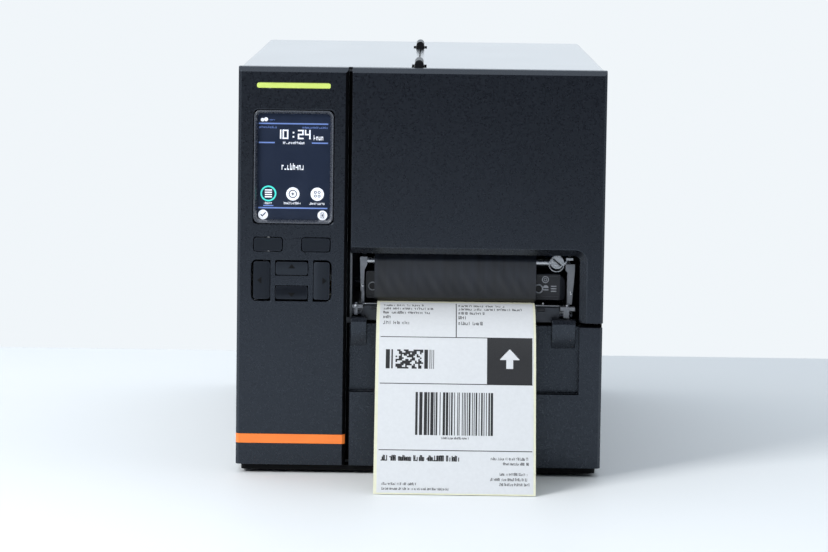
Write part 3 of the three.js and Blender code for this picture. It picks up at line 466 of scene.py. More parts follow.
def finish_node(name, slot):
    node = NODES[name]
    node.data.materials.clear()
    node.data.materials.append(MATERIALS[OTHER_FINISH.get(name, slot)])
    if name in ROLL_SIDES:
        node.data.materials.append(MATERIALS[ROLL_SIDES[name]])
        for face in node.data.polygons:
            face.material_index = 1 if abs(face.normal.x) > 0.9 else 0
    # painted highlight: the sloped faces of the right cap get a lighter plastic than the rest of it
    if name == "head_cap_right":
        node.data.materials.append(MATERIALS["cap_slope"])
        for face in node.data.polygons:
            face.material_index = 1 if face.normal.x > 0.3 and face.normal.y < -0.2 else 0
    if name in SEAM_SIDES:
        node.data.materials.append(MATERIALS["seam_shadow"])
        way = 1 if name == "front_bezel" else -1
        for face in node.data.polygons:
            sideways = face.normal.x * way > 0.5 and abs(face.normal.z) < 0.2
            at_seam = SEAM[0] < face.center.x < SEAM[1]
            face.material_index = 1 if sideways and at_seam else 0
    smooth = node.modifiers.new("smooth", "NODES")
    smooth.node_group = PANEL_SMOOTHING if name in SEAM_SIDES else SMOOTHING
    if name not in SHARP_NODES:
        round_edges(node, KEY_EDGE if slot == "key_plastic" else SOFT_EDGE, name not in SEAM_SIDES)
    if name in SEAM_SIDES:
        even = node.modifiers.new("even_normals", "WEIGHTED_NORMAL")
        even.weight = 90
        even.keep_sharp = True


for entry in frame["record"]["subparts"]:
    finish_node(entry["node"], entry["material_slot"])

# ---- Building pieces ----
def quads(count, rings, closed=False):
    """The faces between rings of points, with the last ring joined to the first if closed."""
    faces = []
    for k in range(rings if closed else rings - 1):
        low, high = k * count, (k + 1) % rings * count
        for i in range(count):
            j = (i + 1) % count
            faces.append((low + i, low + j, high + j, high + i))
    return faces


def circle(centre, axis, along, radius, sides):
    """A ring of points about the axis 'x', 'd' or 'z'."""
    ring = []
    for i in range(sides):
        t = 2 * math.pi * i / sides
        a, b = radius * math.cos(t), radius * math.sin(t)
        offset = {"x": (along, a, b), "d": (a, along, -b), "z": (a, b, along)}[axis]
        ring.append(tuple(c + o for c, o in zip(centre, offset)))
    return ring


class Piece:
    """One visible piece: closed solids gathered into a single mesh, in millimetres until it is made.
    X is as in the row frame, d is the depth behind the front face and z the height."""

    def __init__(self, name, *finishes, body="frame", slot=None):
        self.name, self.body, self.finishes = name, body, finishes
        self.slot = slot or finishes[0]
        self.points, self.faces, self.marks = [], [], []

    def add(self, rings, faces, finish):
        start = len(self.points)
        self.points.extend(p for ring in rings for p in ring)
        self.faces.extend(tuple(start + i for i in face) for face in faces)
        self.marks.extend([finish] * len(faces))
        return self

    def loft(self, rings, finish=0):
        """A closed solid through rings of points, each ring running the same way round."""
        count = len(rings[0])
        last = count * (len(rings) - 1)
        ends = [tuple(range(count))[::-1], tuple(range(last, last + count))]
        return self.add(rings, [ends[0], *quads(count, len(rings)), ends[1]], finish)

    def hoop(self, rings, finish=0):
        """A closed hoop, whose section runs through the rings and back to the first."""
        return self.add(rings, quads(len(rings[0]), len(rings), True), finish)

    def box(self, x0, x1, d0, d1, z0, z1, finish=0):
        ring = [(x0, d0), (x1, d0), (x1, d1), (x0, d1)]
        return self.loft([[(x, d, z) for x, d in ring] for z in (z0, z1)], finish)

    def plate(self, outline, d0, d1, finish=0):
        """An outline in x and z, from depth d0 to d1."""
        return self.loft([[(x, d, z) for x, z in outline] for d in (d1, d0)], finish)

    def side(self, outline, x0, x1, finish=0):
        """An outline in depth and z, from x0 to x1."""
        return self.loft([[(x, d, z) for d, z in outline] for x in (x0, x1)], finish)

    def turned(self, centre, axis, profile, sides=32, finish=0):
        """A solid of revolution: profile is (along, radius) pairs, along the axis 'x', 'd' or 'z'."""
        return self.loft([circle(centre, axis, *at, sides) for at in profile], finish)

    def washer(self, centre, axis, inner, outer, from_, to, sides=40, finish=0):
        """A flat ring, or any tube, along an axis."""
        section = ((from_, inner), (from_, outer), (to, outer), (to, inner))
        return self.hoop([circle(centre, axis, *at, sides) for at in section], finish)

    def rim(self, outer, inner, d0, d1, finish=0):
        """A frame between two outlines in x and z with as many points each."""
        return self.around([(inner, d0), (outer, d0), (outer, d1), (inner, d1)], finish)

    def around(self, lines, finish=0):
        """A hoop whose section runs through outlines in x and z, each at its own depth."""
        return self.hoop([[(x, d, z) for x, z in line] for line, d in lines], finish)

    def make(self, edge=0.0, smooth=40, replaces=()):
        mesh = bpy.data.meshes.new(self.name)
        placed = [(x * MM, FRONT + d * MM, z * MM) for x, d, z in self.points]
        mesh.from_pydata(placed, [], self.faces)
        for finish in self.finishes:
            mesh.materials.append(MATERIALS[finish])
        for face, mark in zip(mesh.polygons, self.marks):
            face.material_index = mark
        outward(mesh)
        made = add_object(self.name, mesh)
        if edge:
            round_edges(made, edge * MM)
        mesh.shade_smooth()
        mesh.set_sharp_from_angle(angle=math.radians(smooth))
        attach(made, self.body)
        if replaces:
            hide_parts(*replaces)
        return made


def outward(mesh):
    shape = bmesh.new()
    shape.from_mesh(mesh)
    bmesh.ops.recalc_face_normals(shape, faces=shape.faces)
    shape.to_mesh(mesh)
    shape.free()


def rounded(x0, x1, z0, z1, radius, steps=5):
    """A rectangle's outline with rounded corners, in x and z."""
    corners = ((x1 - radius, z0 + radius, -90), (x1 - radius, z1 - radius, 0),
               (x0 + radius, z1 - radius, 90), (x0 + radius, z0 + radius, 180))
    outline = []
    for cx, cz, start in corners:
        for i in range(steps + 1):
            t = math.radians(start + 90 * i / steps)
            outline.append((cx + radius * math.cos(t), cz + radius * math.sin(t)))
    return outline


def disc(cx, cz, radius, sides=32, start=0, sweep=360):
    """The outline of a disc, or of a segment of it, in x and z."""
    whole = sweep == 360
    count = sides if whole else sides + 1
    return [
        (cx + radius * math.cos(math.radians(start + sweep * i / sides)),
         cz + radius * math.sin(math.radians(start + sweep * i / sides)))
        for i in range(count)
    ]


def inset(box, across, upright, radius):
    """The rounded outline of a box, drawn in by these amounts, or out by negative ones."""
    x0, x1, z0, z1 = box
    return rounded(x0 + across, x1 - across, z0 + upright, z1 - upright, radius)


def tilted(angle, x, z, outline):
    """An outline turned about its own origin and moved to x and z."""
    c, s = math.cos(math.radians(angle)), math.sin(math.radians(angle))
    return [(x + a * c - b * s, z + a * s + b * c) for a, b in outline]


def screw_head(piece, centre, radius, high, axis, way, finish, recess_shade_finish):
    """A domed screw head standing out of a face, its cross recess drawn as a dark cross of painted shade.
    """
    profile = [(0, radius), (way * high * 0.55, radius), (way * high * 0.85, radius * 0.86),
               (way * high, radius * 0.6)]
    piece.turned(centre, axis, profile, 24, finish)
    along = "xdz".index(axis)
    # painted shade: the cross recess is a flat dark cross, not a hollow
    arm, half = radius * 0.5, radius * 0.1
    for a, b in ((arm, half), (half, arm)):
        reach = [a, b]
        reach.insert(along, 0)
        spans = [(c - r, c + r) for c, r in zip(centre, reach)]
        spans[along] = sorted(centre[along] + way * part for part in (high - 0.25, high + 0.03))
        piece.box(*spans[0], *spans[1], *spans[2], recess_shade_finish)


# ---- The printed label on its liner ----
# The line of the label web in depth and z, as the CAD bends it: the tear bar's end, an arc and
# the straight drop.
WEB_Z = 116.55
BEND_R = 56
BEND_AT = 12
HANG_ANGLE = 64
HANG_STEPS = 16
PAPER_HALF = 0.25
LABEL_REACH = 80
LABEL_X0 = -27.0
LABEL_X1 = 76.2


def web_line():
    line = [(24, WEB_Z)]
    for i in range(HANG_STEPS + 1):
        t = math.radians(90 + HANG_ANGLE * i / HANG_STEPS)
        line.append((BEND_AT + BEND_R * math.cos(t), WEB_Z - BEND_R + BEND_R * math.sin(t)))
    line.append((0.25 - LABEL_REACH, 0.4))
    return line


def outer_side(line):
    """The line's outer face, with the outward direction at each point and the way left to the free end."""
    found = []
    for i, (d, z) in enumerate(line):
        (da, za), (db, zb) = line[max(i - 1, 0)], line[min(i + 1, len(line) - 1)]
        length = math.hypot(db - da, zb - za)
        nd, nz = (zb - za) / length, (da - db) / length
        found.append((d + nd * PAPER_HALF, z + nz * PAPER_HALF, nd, nz))
    left = [0.0]
    for (d0, z0, _, _), (d1, z1, _, _) in zip(found[:0:-1], found[-2::-1]):
        left.append(left[-1] + math.hypot(d1 - d0, z1 - z0))
    return found[::-1], left


OUTER, OUTER_LEFT = outer_side(web_line())


def on_label(end):
    """(depth, z, outward depth, outward z) at a distance from the free end."""
    k = 1
    while k < len(OUTER) - 1 and OUTER_LEFT[k] < end:
        k += 1
    share = (end - OUTER_LEFT[k - 1]) / (OUTER_LEFT[k] - OUTER_LEFT[k - 1])
    return tuple(a + (b - a) * share for a, b in zip(OUTER[k - 1], OUTER[k]))


def stations(e0, e1):
    """Where a strip from e0 to e1 has to bend: its ends and the web's own corners between them."""
    inside = [e for e in OUTER_LEFT if e0 + 0.05 < e < e1 - 0.05]
    return [e0, *inside, e1]


LABEL_HIGH = 0.12
INK_LOW = 0.05
INK_HIGH = 0.17


def strip(piece, x0, x1, e0, e1, low=INK_LOW, high=INK_HIGH, finish=0):
    """A thin slab on the label, from low to high above its face."""
    rings = []
    for end in stations(e0, e1):
        d, z, nd, nz = on_label(end)
        rings.append([
            (x, d + nd * lift, z + nz * lift)
            for x, lift in ((x0, low), (x1, low), (x1, high), (x0, high))
        ])
    piece.loft(rings, finish)


def printed_label():
    label = Piece("printed_label", "label_paper")
    strip(label, LABEL_X0, LABEL_X1, 0.9, 155, -0.05, LABEL_HIGH)
    return label.make()


def greeked(ink, x0, x1, e0, high, seed):
    """A line of writing shown as small uneven strokes, with gaps for the spaces."""
    draw = random.Random(seed)
    x = x0
    pitch = high * 0.36
    until_gap = draw.randint(3, 7)
    while x < x1 - pitch * 0.3:
        if until_gap == 0:
            x += pitch
            until_gap = draw.randint(2, 8)
            continue
        tall = high if draw.random() < 0.45 else high * 0.72
        if draw.random() < 0.4:
            strip(ink, x, x + pitch * 0.3, e0, e0 + tall)
        if draw.random() < 0.75:
            row = draw.choice((0, 0.4, 0.82)) * tall
            strip(ink, x, x + pitch * 0.8, e0 + row, e0 + row + high * 0.17)
        strip(ink, x + pitch * 0.55, x + pitch * 0.82, e0, e0 + tall * 0.95)
        x += pitch
        until_gap -= 1


def bar_group(ink, x0, x1, e0, e1, seed, narrow):
    """Upright bars of uneven width between two edges."""
    draw = random.Random(seed)
    x = x0
    while x < x1 - narrow:
        wide = min(narrow * draw.choice((1, 1, 2, 2, 3, 4)), x1 - x)
        strip(ink, x, x + wide, e0, e1)
        x += wide + narrow * draw.choice((0.9, 1.3, 2, 3))


def chequered(ink, x0, x1, e0, e1, columns, rows, seed):
    """A patch of small random squares, like a two-dimensional code."""
    draw = random.Random(seed)
    wide, tall = (x1 - x0) / columns, (e1 - e0) / rows
    for row in range(rows):
        column = 0
        while column < columns:
            run = draw.choice((1, 1, 2))
            if draw.random() < 0.5:
                last = min(column + run, columns)
                strip(ink, x0 + column * wide, x0 + last * wide, e0 + row * tall, e0 + (row + 1) * tall)
            column += run


RULES = (109.8, 76.2, 30.0)
RULE_THICK = 0.55
TEXT_LEFT = -24.6
RIGHT_TEXT = 26.0
# (first x, last x, height of the line's foot above the free end, letter height)
WRITING = (
    (TEXT_LEFT, 3.0, 144.6, 3.6), (TEXT_LEFT, 9.0, 138.6, 3.6), (TEXT_LEFT, 6.4, 132.8, 3.5),
    (TEXT_LEFT, -18.6, 127.2, 3.5), (TEXT_LEFT, -7.6, 121.2, 3.5),
    (RIGHT_TEXT, 57.4, 144.6, 3.6), (RIGHT_TEXT, 69.0, 138.6, 3.6), (RIGHT_TEXT, 43.8, 132.8, 3.5),
    (RIGHT_TEXT, 31.4, 127.2, 3.5), (RIGHT_TEXT, 42.6, 121.2, 3.5),
    (15.1, 33.6, 38.1, 1.7), (47.6, 73.3, 24.1, 2.0), (56.0, 73.3, 20.7, 2.0),
    (53.6, 72.0, 13.6, 2.0), (47.7, 72.4, 9.9, 2.0), (53.6, 73.3, 6.5, 2.0),
    (-23.6, -1.0, 6.2, 1.8), (-23.6, 20.4, 2.9, 1.8),
)
BOLD_LINE = (-24.6, 27.2, 22.8, 4.0)
SQUARE = (45.2, 75.4, 76.6, 110.2)


def label_print():
    ink = Piece("label_print", "ink_black", "label_paper", slot="label_paper")
    for rule in RULES:
        strip(ink, -26.0, 75.5, rule, rule + RULE_THICK)
    strip(ink, 24.2, 24.8, RULES[0], 152)
    for number, (x0, x1, foot, high) in enumerate(WRITING):
        greeked(ink, x0, x1, foot, high, number)
    x0, x1, foot, high = BOLD_LINE
    greeked(ink, x0, x1, foot, high, 31)
    greeked(ink, x0 + 0.25, x1, foot + 0.1, high, 31)
    bar_group(ink, -2.1, 49.5, 40.8, 70.6, 5, 0.52)
    for bar0, bar1 in ((-22.3, -19.6), (-18.6, -17.6), (3.4, 5.8), (6.9, 7.4), (8.2, 8.6), (9.4, 9.8)):
        strip(ink, bar0, bar1, 86.9, 100.4)
    chequered(ink, -15.8, 2.6, 86.9, 100.4, 17, 12, 9)
    strip(ink, *SQUARE)
    symbol_on_square(ink)
    return ink.make()


def symbol_on_square(ink):
    """A plain upward arrow, standing in for the sorting mark."""
    middle = (SQUARE[0] + SQUARE[1]) / 2
    foot = 87.6
    steps = 9
    for i in range(steps):
        half = 6.4 * (1 - i / steps)
        low = foot + 6.2 + i * 0.82
        strip(ink, middle - half, middle + half, low, low + 0.84, 0.1, INK_HIGH + 0.05, 1)
    strip(ink, middle - 2.3, middle + 2.3, foot, foot + 6.4, 0.1, INK_HIGH + 0.05, 1)


printed_label()
label_print()

# ---- The lit screen ----
GLASS_FACE = 3.3  # depth of the display glass


def screen_face(name, finish, shapes, low=0.02, high=0.1):
    """Flat marks on the display glass."""
    marks = Piece(name, finish, slot="display_glass")
    for shape in shapes:
        marks.plate(shape, GLASS_FACE - high, GLASS_FACE - low)
    return marks.make()


def bar(x0, x1, z0, z1):
    return [(x0, z0), (x1, z0), (x1, z1), (x0, z1)]


# Which of the seven strokes each digit lights, a to g: top, upper right, lower right, foot,
# lower left, upper left, middle.
STROKES = {"1": "bc", "0": "abcdef", "2": "abged", "4": "fgbc"}


def digit(value, x, z, wide, high, thick):
    half = high / 2
    shapes = {
        "a": bar(x, x + wide, z + high - thick, z + high),
        "b": bar(x + wide - thick, x + wide, z + half, z + high),
        "c": bar(x + wide - thick, x + wide, z, z + half),
        "d": bar(x, x + wide, z, z + thick),
        "e": bar(x, x + thick, z, z + half),
        "f": bar(x, x + thick, z + half, z + high),
        "g": bar(x, x + wide, z + half - thick / 2, z + half + thick / 2),
    }
    return [shapes[stroke] for stroke in STROKES[value]]


def scribble(x0, x1, z0, high, seed, wide=0.5):
    """A word shown as small uneven strokes."""
    draw = random.Random(seed)
    shapes = []
    x = x0
    while x < x1 - wide:
        tall = high if draw.random() < 0.35 else high * 0.72
        if draw.random() < 0.75:
            shapes.append(bar(x, x + wide * 0.42, z0, z0 + tall))
        row = draw.choice((0, 0.3, 0.55)) * high
        shapes.append(bar(x, x + wide * 1.25, z0 + row, z0 + row + high * 0.18))
        if draw.random() < 0.5:
            shapes.append(bar(x + wide, x + wide * 1.4, z0, z0 + high * 0.72))
        x += wide * 1.9
    return shapes


def ring_outline(cx, cz, outer, inner, pieces=24):
    """A ring as a run of small closed quads."""
    shapes = []
    for i in range(pieces):
        a, b = (math.radians(360 * k / pieces) for k in (i, i + 1))
        shapes.append([
            (cx + r * math.cos(t), cz + r * math.sin(t))
            for r, t in ((inner, a), (outer, a), (outer, b), (inner, b))
        ])
    return shapes


SCREEN_X0, SCREEN_X1 = -110.2, -63.5
MENU_ICON, SET_ICON, GRID_ICON = (-103.4, 190.4), (-86.9, 190.3), (-70.4, 190.3)
TICK_ICON, PAGE_ICON = (-106.9, 176.1), (-66.8, 176.0)


def screen():
    white = [disc(-107.8, 240.2, 1.2, 16), disc(-105.4, 240.5, 1.35, 16)]
    for value, x in (("1", -98.9), ("0", -94.2), ("2", -83.9), ("4", -79.2)):
        white += digit(value, x, 227.4, 3.9, 6.3, 0.95)
    white += [bar(-87.4, -86.3, 228.4, 229.5), bar(-87.4, -86.3, 231.2, 232.3)]
    white += scribble(-73.2, -66.6, 226.8, 3.4, 3, 0.9)
    white += scribble(-93.8, -79.6, 224.0, 1.9, 4, 0.55)
    white += scribble(-94.6, -78.6, 206.6, 4.4, 5, 1.0)
    white += [disc(*SET_ICON, 4.5), disc(*GRID_ICON, 4.5), disc(*TICK_ICON, 3.3), disc(*PAGE_ICON, 3.3)]
    for row in range(4):
        low = MENU_ICON[1] - 2.7 + row * 1.55
        white.append(bar(MENU_ICON[0] - 2.4, MENU_ICON[0] + 2.4, low, low + 0.85))
    white += scribble(-106.4, -100.4, 183.2, 1.7, 6, 0.5)
    white += scribble(-92.9, -81.0, 183.2, 1.8, 7, 0.5)
    white += scribble(-75.7, -65.5, 183.1, 1.8, 8, 0.5)
    screen_face("screen_white_marks", "screen_white", white)
    blue = [
        bar(SCREEN_X0, SCREEN_X1, 237.3, 238.2), bar(SCREEN_X0, SCREEN_X1, 180.3, 181.2),
        bar(SCREEN_X0, -99.4, 224.4, 225.3), bar(-74.4, SCREEN_X1, 224.4, 225.3),
        bar(-106.8, -100.0, 181.9, 182.6),
    ]
    blue += scribble(-110.0, -97.6, 234.6, 1.5, 9, 0.45)
    blue += scribble(-80.8, -63.8, 234.6, 1.5, 10, 0.45)
    blue += scribble(-103.0, -99.0, 239.8, 1.0, 11, 0.4)
    screen_face("screen_blue_marks", "screen_blue", blue)
    screen_face("screen_teal_ring", "screen_teal", ring_outline(*MENU_ICON, 5.4, 4.3, 32))
    dark = ring_outline(*SET_ICON, 2.8, 2.2)
    dark += [bar(SET_ICON[0] - 1.1, SET_ICON[0] + 1.1, SET_ICON[1] - 0.3, SET_ICON[1] + 0.3)]
    dark += [bar(SET_ICON[0] - 0.3, SET_ICON[0] + 0.3, SET_ICON[1] - 1.1, SET_ICON[1] + 1.1)]
    for dx in (-1.25, 1.25):
        for dz in (-1.25, 1.25):
            dark += ring_outline(GRID_ICON[0] + dx, GRID_ICON[1] + dz, 1.0, 0.55, 8)
    x, z = TICK_ICON
    dark.append([(x - 1.9, z), (x - 0.5, z - 1.5), (x - 0.5, z - 0.5), (x - 1.3, z + 0.5)])
    dark.append([(x - 0.5, z - 1.5), (x + 2.0, z + 1.2), (x + 1.5, z + 1.8), (x - 0.5, z - 0.5)])
    x, z = PAGE_ICON
    dark += [bar(x - 1.2, x + 1.2, z + 1.5, z + 1.9), bar(x - 1.2, x - 0.8, z - 1.8, z + 1.6),
             bar(x + 0.8, x + 1.2, z - 1.8, z + 1.6), bar(x - 1.2, x + 1.2, z - 1.9, z - 1.5),
             bar(x - 0.45, x + 0.45, z - 0.8, z + 0.8)]
    screen_face("screen_dark_marks", "screen_slate", dark, 0.06, 0.14)


# ---- Marks on the keys, and the glossy lens of the light bar ----
KEY_PROUD = -0.8  # depth of the key faces
KEY_MARKS = {
    "key_up": (-87.0, 141.4, 0), "key_down": (-87.0, 122.4, 180),
    "key_left": (-108.6, 131.9, 90), "key_right": (-65.0, 131.9, -90),
}


def key_marks():
    """A small raised arrowhead on each direction key."""
    for key, (x, z, turn) in KEY_MARKS.items():
        mark = Piece(f"{key}_arrow", "key_mark", body=key, slot="key_plastic")
        arrow = tilted(turn, x, z, [(-2.4, -1.2), (2.4, -1.2), (0, 1.7)])
        mark.plate(arrow, KEY_PROUD - 0.12, KEY_PROUD + 0.3)
        mark.make(edge=0.05)


def panel_details():
    """The glossy lens of the light bar."""
    lens = Piece("light_lens", "light_green")
    lens.plate(rounded(-111.5, -62.0, 261.9, 265.3, 1.2), -0.25, 0.15)
    lens.make(edge=0.15)


screen()
key_marks()
panel_details()

# ---- The ribbon, redrawn with its slack and creases ----
RIBBON_X0 = -31.3
RIBBON_X1 = 78.7
FILM_HALF = 0.12
REAR_ROD_AT = (96, 121.2)
FRONT_ROD_AT = (19.5, 144.6)
HEAD_TURN_AT = (19, 120.1)
RIBBON_LOW = 117.3


def on_circle(centre, radius, angle):
    t = math.radians(angle)
    return (centre[0] + radius * math.cos(t), centre[1] + radius * math.sin(t))


def arc_line(centre, radius, start, end, steps):
    return [on_circle(centre, radius, start + (end - start) * i / steps) for i in range(steps + 1)]


def ribbon_line():
    line = [on_circle(SUPPLY_AT, 28.4, -67.7)]
    line += arc_line(REAR_ROD_AT, 3.9, -67.7, -90, 5)
    line += [(60, RIBBON_LOW), (30, RIBBON_LOW)]
    line += arc_line(HEAD_TURN_AT, 2.8, -90, -180, 8)
    face_foot, face_head = HEAD_TURN_AT[1], FRONT_ROD_AT[1]
    steps = 22
    line += [(16.2, face_foot + (face_head - face_foot) * i / steps) for i in range(1, steps)]
    line += arc_line(FRONT_ROD_AT, 3.3, 180, 137.9, 6)
    line += [on_circle(REWIND_AT, 22.5, 137.9)]
    return line


def crease(x, z):
    """How far the film stands from its flat line on the stretch that shows in the slot."""
    across = (x - RIBBON_X0) / (RIBBON_X1 - RIBBON_X0)
    up = (z - HEAD_TURN_AT[1]) / (FRONT_ROD_AT[1] - HEAD_TURN_AT[1])
    if not 0.02 < up < 0.98:
        return 0
    hold = math.sin(math.pi * up)
    slant = across * 46 + up * 5.2
    fine = math.sin(slant) * math.sin(across * 17 + 1.3) + 0.5 * math.sin(slant * 1.9 + 2)
    broad = math.sin(across * 7.3 + up * 1.5 + 0.6)
    low_down = max(0, 1 - up * 1.5)
    return hold * (0.11 * fine * (0.35 + low_down) + 0.09 * broad)


def ribbon_sheet():
    columns = 150
    line = ribbon_line()
    ribbon = Piece("ribbon_sheet", "ribbon_film")
    rings = []
    for i, (d, z) in enumerate(line):
        (da, za), (db, zb) = line[max(i - 1, 0)], line[min(i + 1, len(line) - 1)]
        length = math.hypot(db - da, zb - za)
        nd, nz = -(zb - za) / length, (db - da) / length
        ring = []
        for side in (-1, 1):
            for k in range(columns + 1):
                share = k / columns if side < 0 else 1 - k / columns
                x = RIBBON_X0 + (RIBBON_X1 - RIBBON_X0) * share
                off = side * FILM_HALF + (crease(x, z) if abs(d - 16.2) < 0.01 else 0)
                ring.append((x, d + nd * off, z + nz * off))
        rings.append(ring)
    ribbon.loft(rings)
    return ribbon.make(smooth=60, replaces=("ribbon_web",))


# ---- Small parts of the print mechanism that show in the slot ----
CAP_FACE = 20.5  # depth of the print head's end caps


def cap_marks():
    """Raised symbols and the screw bosses on the print head's end caps."""
    marks = Piece("head_cap_marks", "black_plastic", "mark_grey", "socket_dark", body="print_head")
    face = CAP_FACE + 0.1
    for inner, outer, sides in ((1.8, 2.4, 28), (0.7, 1.15, 20)):
        marks.washer((85.2, 0, 132.6), "d", inner, outer, face - 0.45, face, sides, 1)
    lines = [bar(83.7, 87.3, 125.2, 126.0), *(bar(89.0, 92.8, z, z + 0.75) for z in (124.3, 126.0, 127.7))]
    for shape in (disc(85.5, 126.9, 1.9, 16, 0, 180), *lines):
        marks.plate(shape, face - 0.45, face, 1)
    for x0, x1, z0, z1, radius, deep in (
        (79.3, 94.0, 119.0, 121.2, 0.4, 0.6), (81.0, 93.6, 134.6, 135.3, 0.3, 0.4),
        (-36.3, -33.4, 119.2, 121.0, 0.4, 0.5),
    ):
        marks.plate(rounded(x0, x1, z0, z1, radius, 2), face - deep, face)
    for x, z, outer, deep, sunk in ((80.6, 126.3, 3.2, 1.0, 0.35), (-32.6, 126.6, 3.0, 0.8, 0.3)):
        marks.washer((x, 0, z), "d", 2.3, outer, face - deep, face + 0.3, 32, 1)
        # painted shade: the screw holes in the bosses are dark discs
        marks.turned((x, 0, z), "d", [(face - sunk, 2.25), (face, 2.25)], 24, 2)
    return marks.make(edge=0.08)


def guide_screw():
    """The slotted screw that holds the ribbon rod, seen from the front."""
    x, z, d = 92.7, 145.2, 14.2
    screw = Piece("guide_rod_screw", "bright_steel", "socket_dark")
    screw.washer((x, 0, z), "d", 3.55, 4.05, d - 0.35, d + 0.1, 32)
    # painted shade: the slot is a dark bar, not a cut
    screw.plate(tilted(-40, x, z, bar(-3.5, 3.5, -0.45, 0.45)), d - 0.12, d + 0.1, 1)
    screw.washer((x - 0.3, 0, z - 1.6), "d", 4.7, 5.3, d + 1.2, d + 2.4, 36)
    return screw.make(edge=0.06)


def bracket_details():
    """The tear edge, its stops, the bracket's pins and the cover's catch."""
    small = Piece("tear_edge", "bright_steel")
    for x0, x1 in ((-38.4, -29.4), (78.2, 94.7)):
        small.side([(9.3, 115.75), (12.5, 115.8), (12.5, 116.02), (9.6, 116.1)], x0, x1)
    small.make(edge=0.04)
    stops = Piece("tear_bar_stops", "black_plastic", "bright_steel")
    for x0, x1 in ((-33.6, -29.5), (79.4, 84.8)):
        ends = [(x0, 0.9), (x0 + 0.4, 1.3), (x1 - 0.4, 1.3), (x1, 0.9)]
        stops.turned((0, 8.2, 113.2), "x", ends, 20)
    stops.turned((83.6, 0, 117.0), "d", [(12.0, 0.5), (12.2, 0.7), (14.0, 0.7)], 16, 1)
    stops.make(edge=0.05)
    pins = Piece("bracket_pins", "bright_steel")
    for x, z in ((-39.2, 127.6), (102.7, 124.0)):
        pins.turned((x, 0, z), "d", [(13.6, 0.8), (13.8, 1.1), (14.8, 1.1)], 20)
    for x, d in ((-43.5, 0), (-43.5, 13.5), (100.2, 13.5)):
        pins.turned((x, d, 114.9), "z", [(0, 1.4), (1.2, 1.4), (1.5, 1.1)], 20)
    pins.side([(14.2, 146.5), (18.5, 146.5), (18.5, 148.6), (15.4, 149.2), (14.2, 148.2)], 98.8, 103.6)
    pins.make(edge=0.1)
    catch = Piece("cover_catch", "bright_steel", body="media_cover")
    catch.plate(rounded(108.3, 109.2, 113.2, 117.4, 0.3, 2), 6.0, 10.4)
    catch.make(edge=0.1)


def recess_ribs():
    """Shallow upright ribs on the back of the label recess, on both sides of the label."""
    ribs = Piece("recess_ribs", "body_plastic")
    face = 8
    for x in (-33.4, -30.4, 80.6, 83.6, 86.6):
        ribs.box(x, x + 0.9, face - 0.9, face + 0.2, 87.5, 102.0)
    return ribs.make(edge=0.15)


def screen_frame():
    """The flared lip round the display glass, in a lighter copy of the body plastic with lighter edges:
    painted highlight.
    """
    flare = Piece("screen_frame", "screen_edge", slot="body_plastic")
    outer, middle, inner = (
        rounded(-113.2 + gap, -59.7 - gap, 170.6 + gap, 246.8 - gap, corner, 8)
        for gap, corner in ((0, 4.2), (0.8, 3.6), (2.2, 2.6))
    )
    flare.around([(outer, 0.5), (outer, -0.3), (middle, -0.3), (inner, 2.2), (inner, 3.2)])
    return flare.make(edge=0.25)


def dark_strips():
    """Dark strips of painted shadow in the seams, and a dark baffle of painted shade beside the print
    mechanism.
    """
    strips = Piece("seam_shadow_strips", "seam_shadow", slot="black_plastic")
    strips.box(-49.7, -47.8, 12.2, 13.4, 8, 102)
    strips.box(-49.7, -47.8, 12.2, 13.4, 106, 273)
    strips.box(121.75, 123.3, 3, 431, 102.55, 105.05)
    # Known fault: below z 112 this baffle cuts through the end of the platen shaft.
    strips.box(102.05, 120.5, 22, 23.5, 103, 152)
    return strips.make(edge=0.1)


screen_frame()
dark_strips()
ribbon_sheet()
cap_marks()
guide_screw()
bracket_details()
recess_ribs()


# ---- Inside: roll cores, electronics and fixings ----
WALL_FACE = -46.5
BOARD_FACE = -66
MOTOR_AT = (41.2, 119.75)


def roll_core(name, body, centre, inner, outer, x0, x1):
    core = Piece(name, "kraft_card", body=body)
    for low, high in ((x0 - 0.25, x0 + 1.5), (x1 - 1.5, x1 + 0.25)):
        core.washer((0, *centre), "x", inner, outer, low, high, 48)
    return core.make(edge=0.15)


def wall_fixings():
    """Screws on washers, and pressed ribs, on the wall between the two halves."""
    fixings = Piece("wall_screws", "bright_steel", "socket_dark", slot="bright_steel")
    for d, z in (*((d, 262) for d in (40, 165, 290, 415)), (415, 40), (165, 150), (270, 42), (405, 176)):
        screw_head(fixings, (WALL_FACE, d, z), 3.6, 1.8, "x", 1, 0, 1)
        fixings.washer((WALL_FACE, d, z), "x", 3.6, 4.8, -0.1, 0.5, 28)
    fixings.make(edge=0.12)
    ribs = Piece("wall_ribs", "wall_paint", slot="cast_metal")
    lines = [[(58, z - 2), (392, z - 2), (394, z), (392, z + 2), (58, z + 2), (56, z)] for z in (168, 244)]
    lines.append([(398, 60), (402, 58), (406, 60), (406, 160), (402, 162), (398, 160)])
    for line in lines:
        ribs.side(line, WALL_FACE - 0.1, WALL_FACE + 1.1)
    ribs.make(edge=0.5)


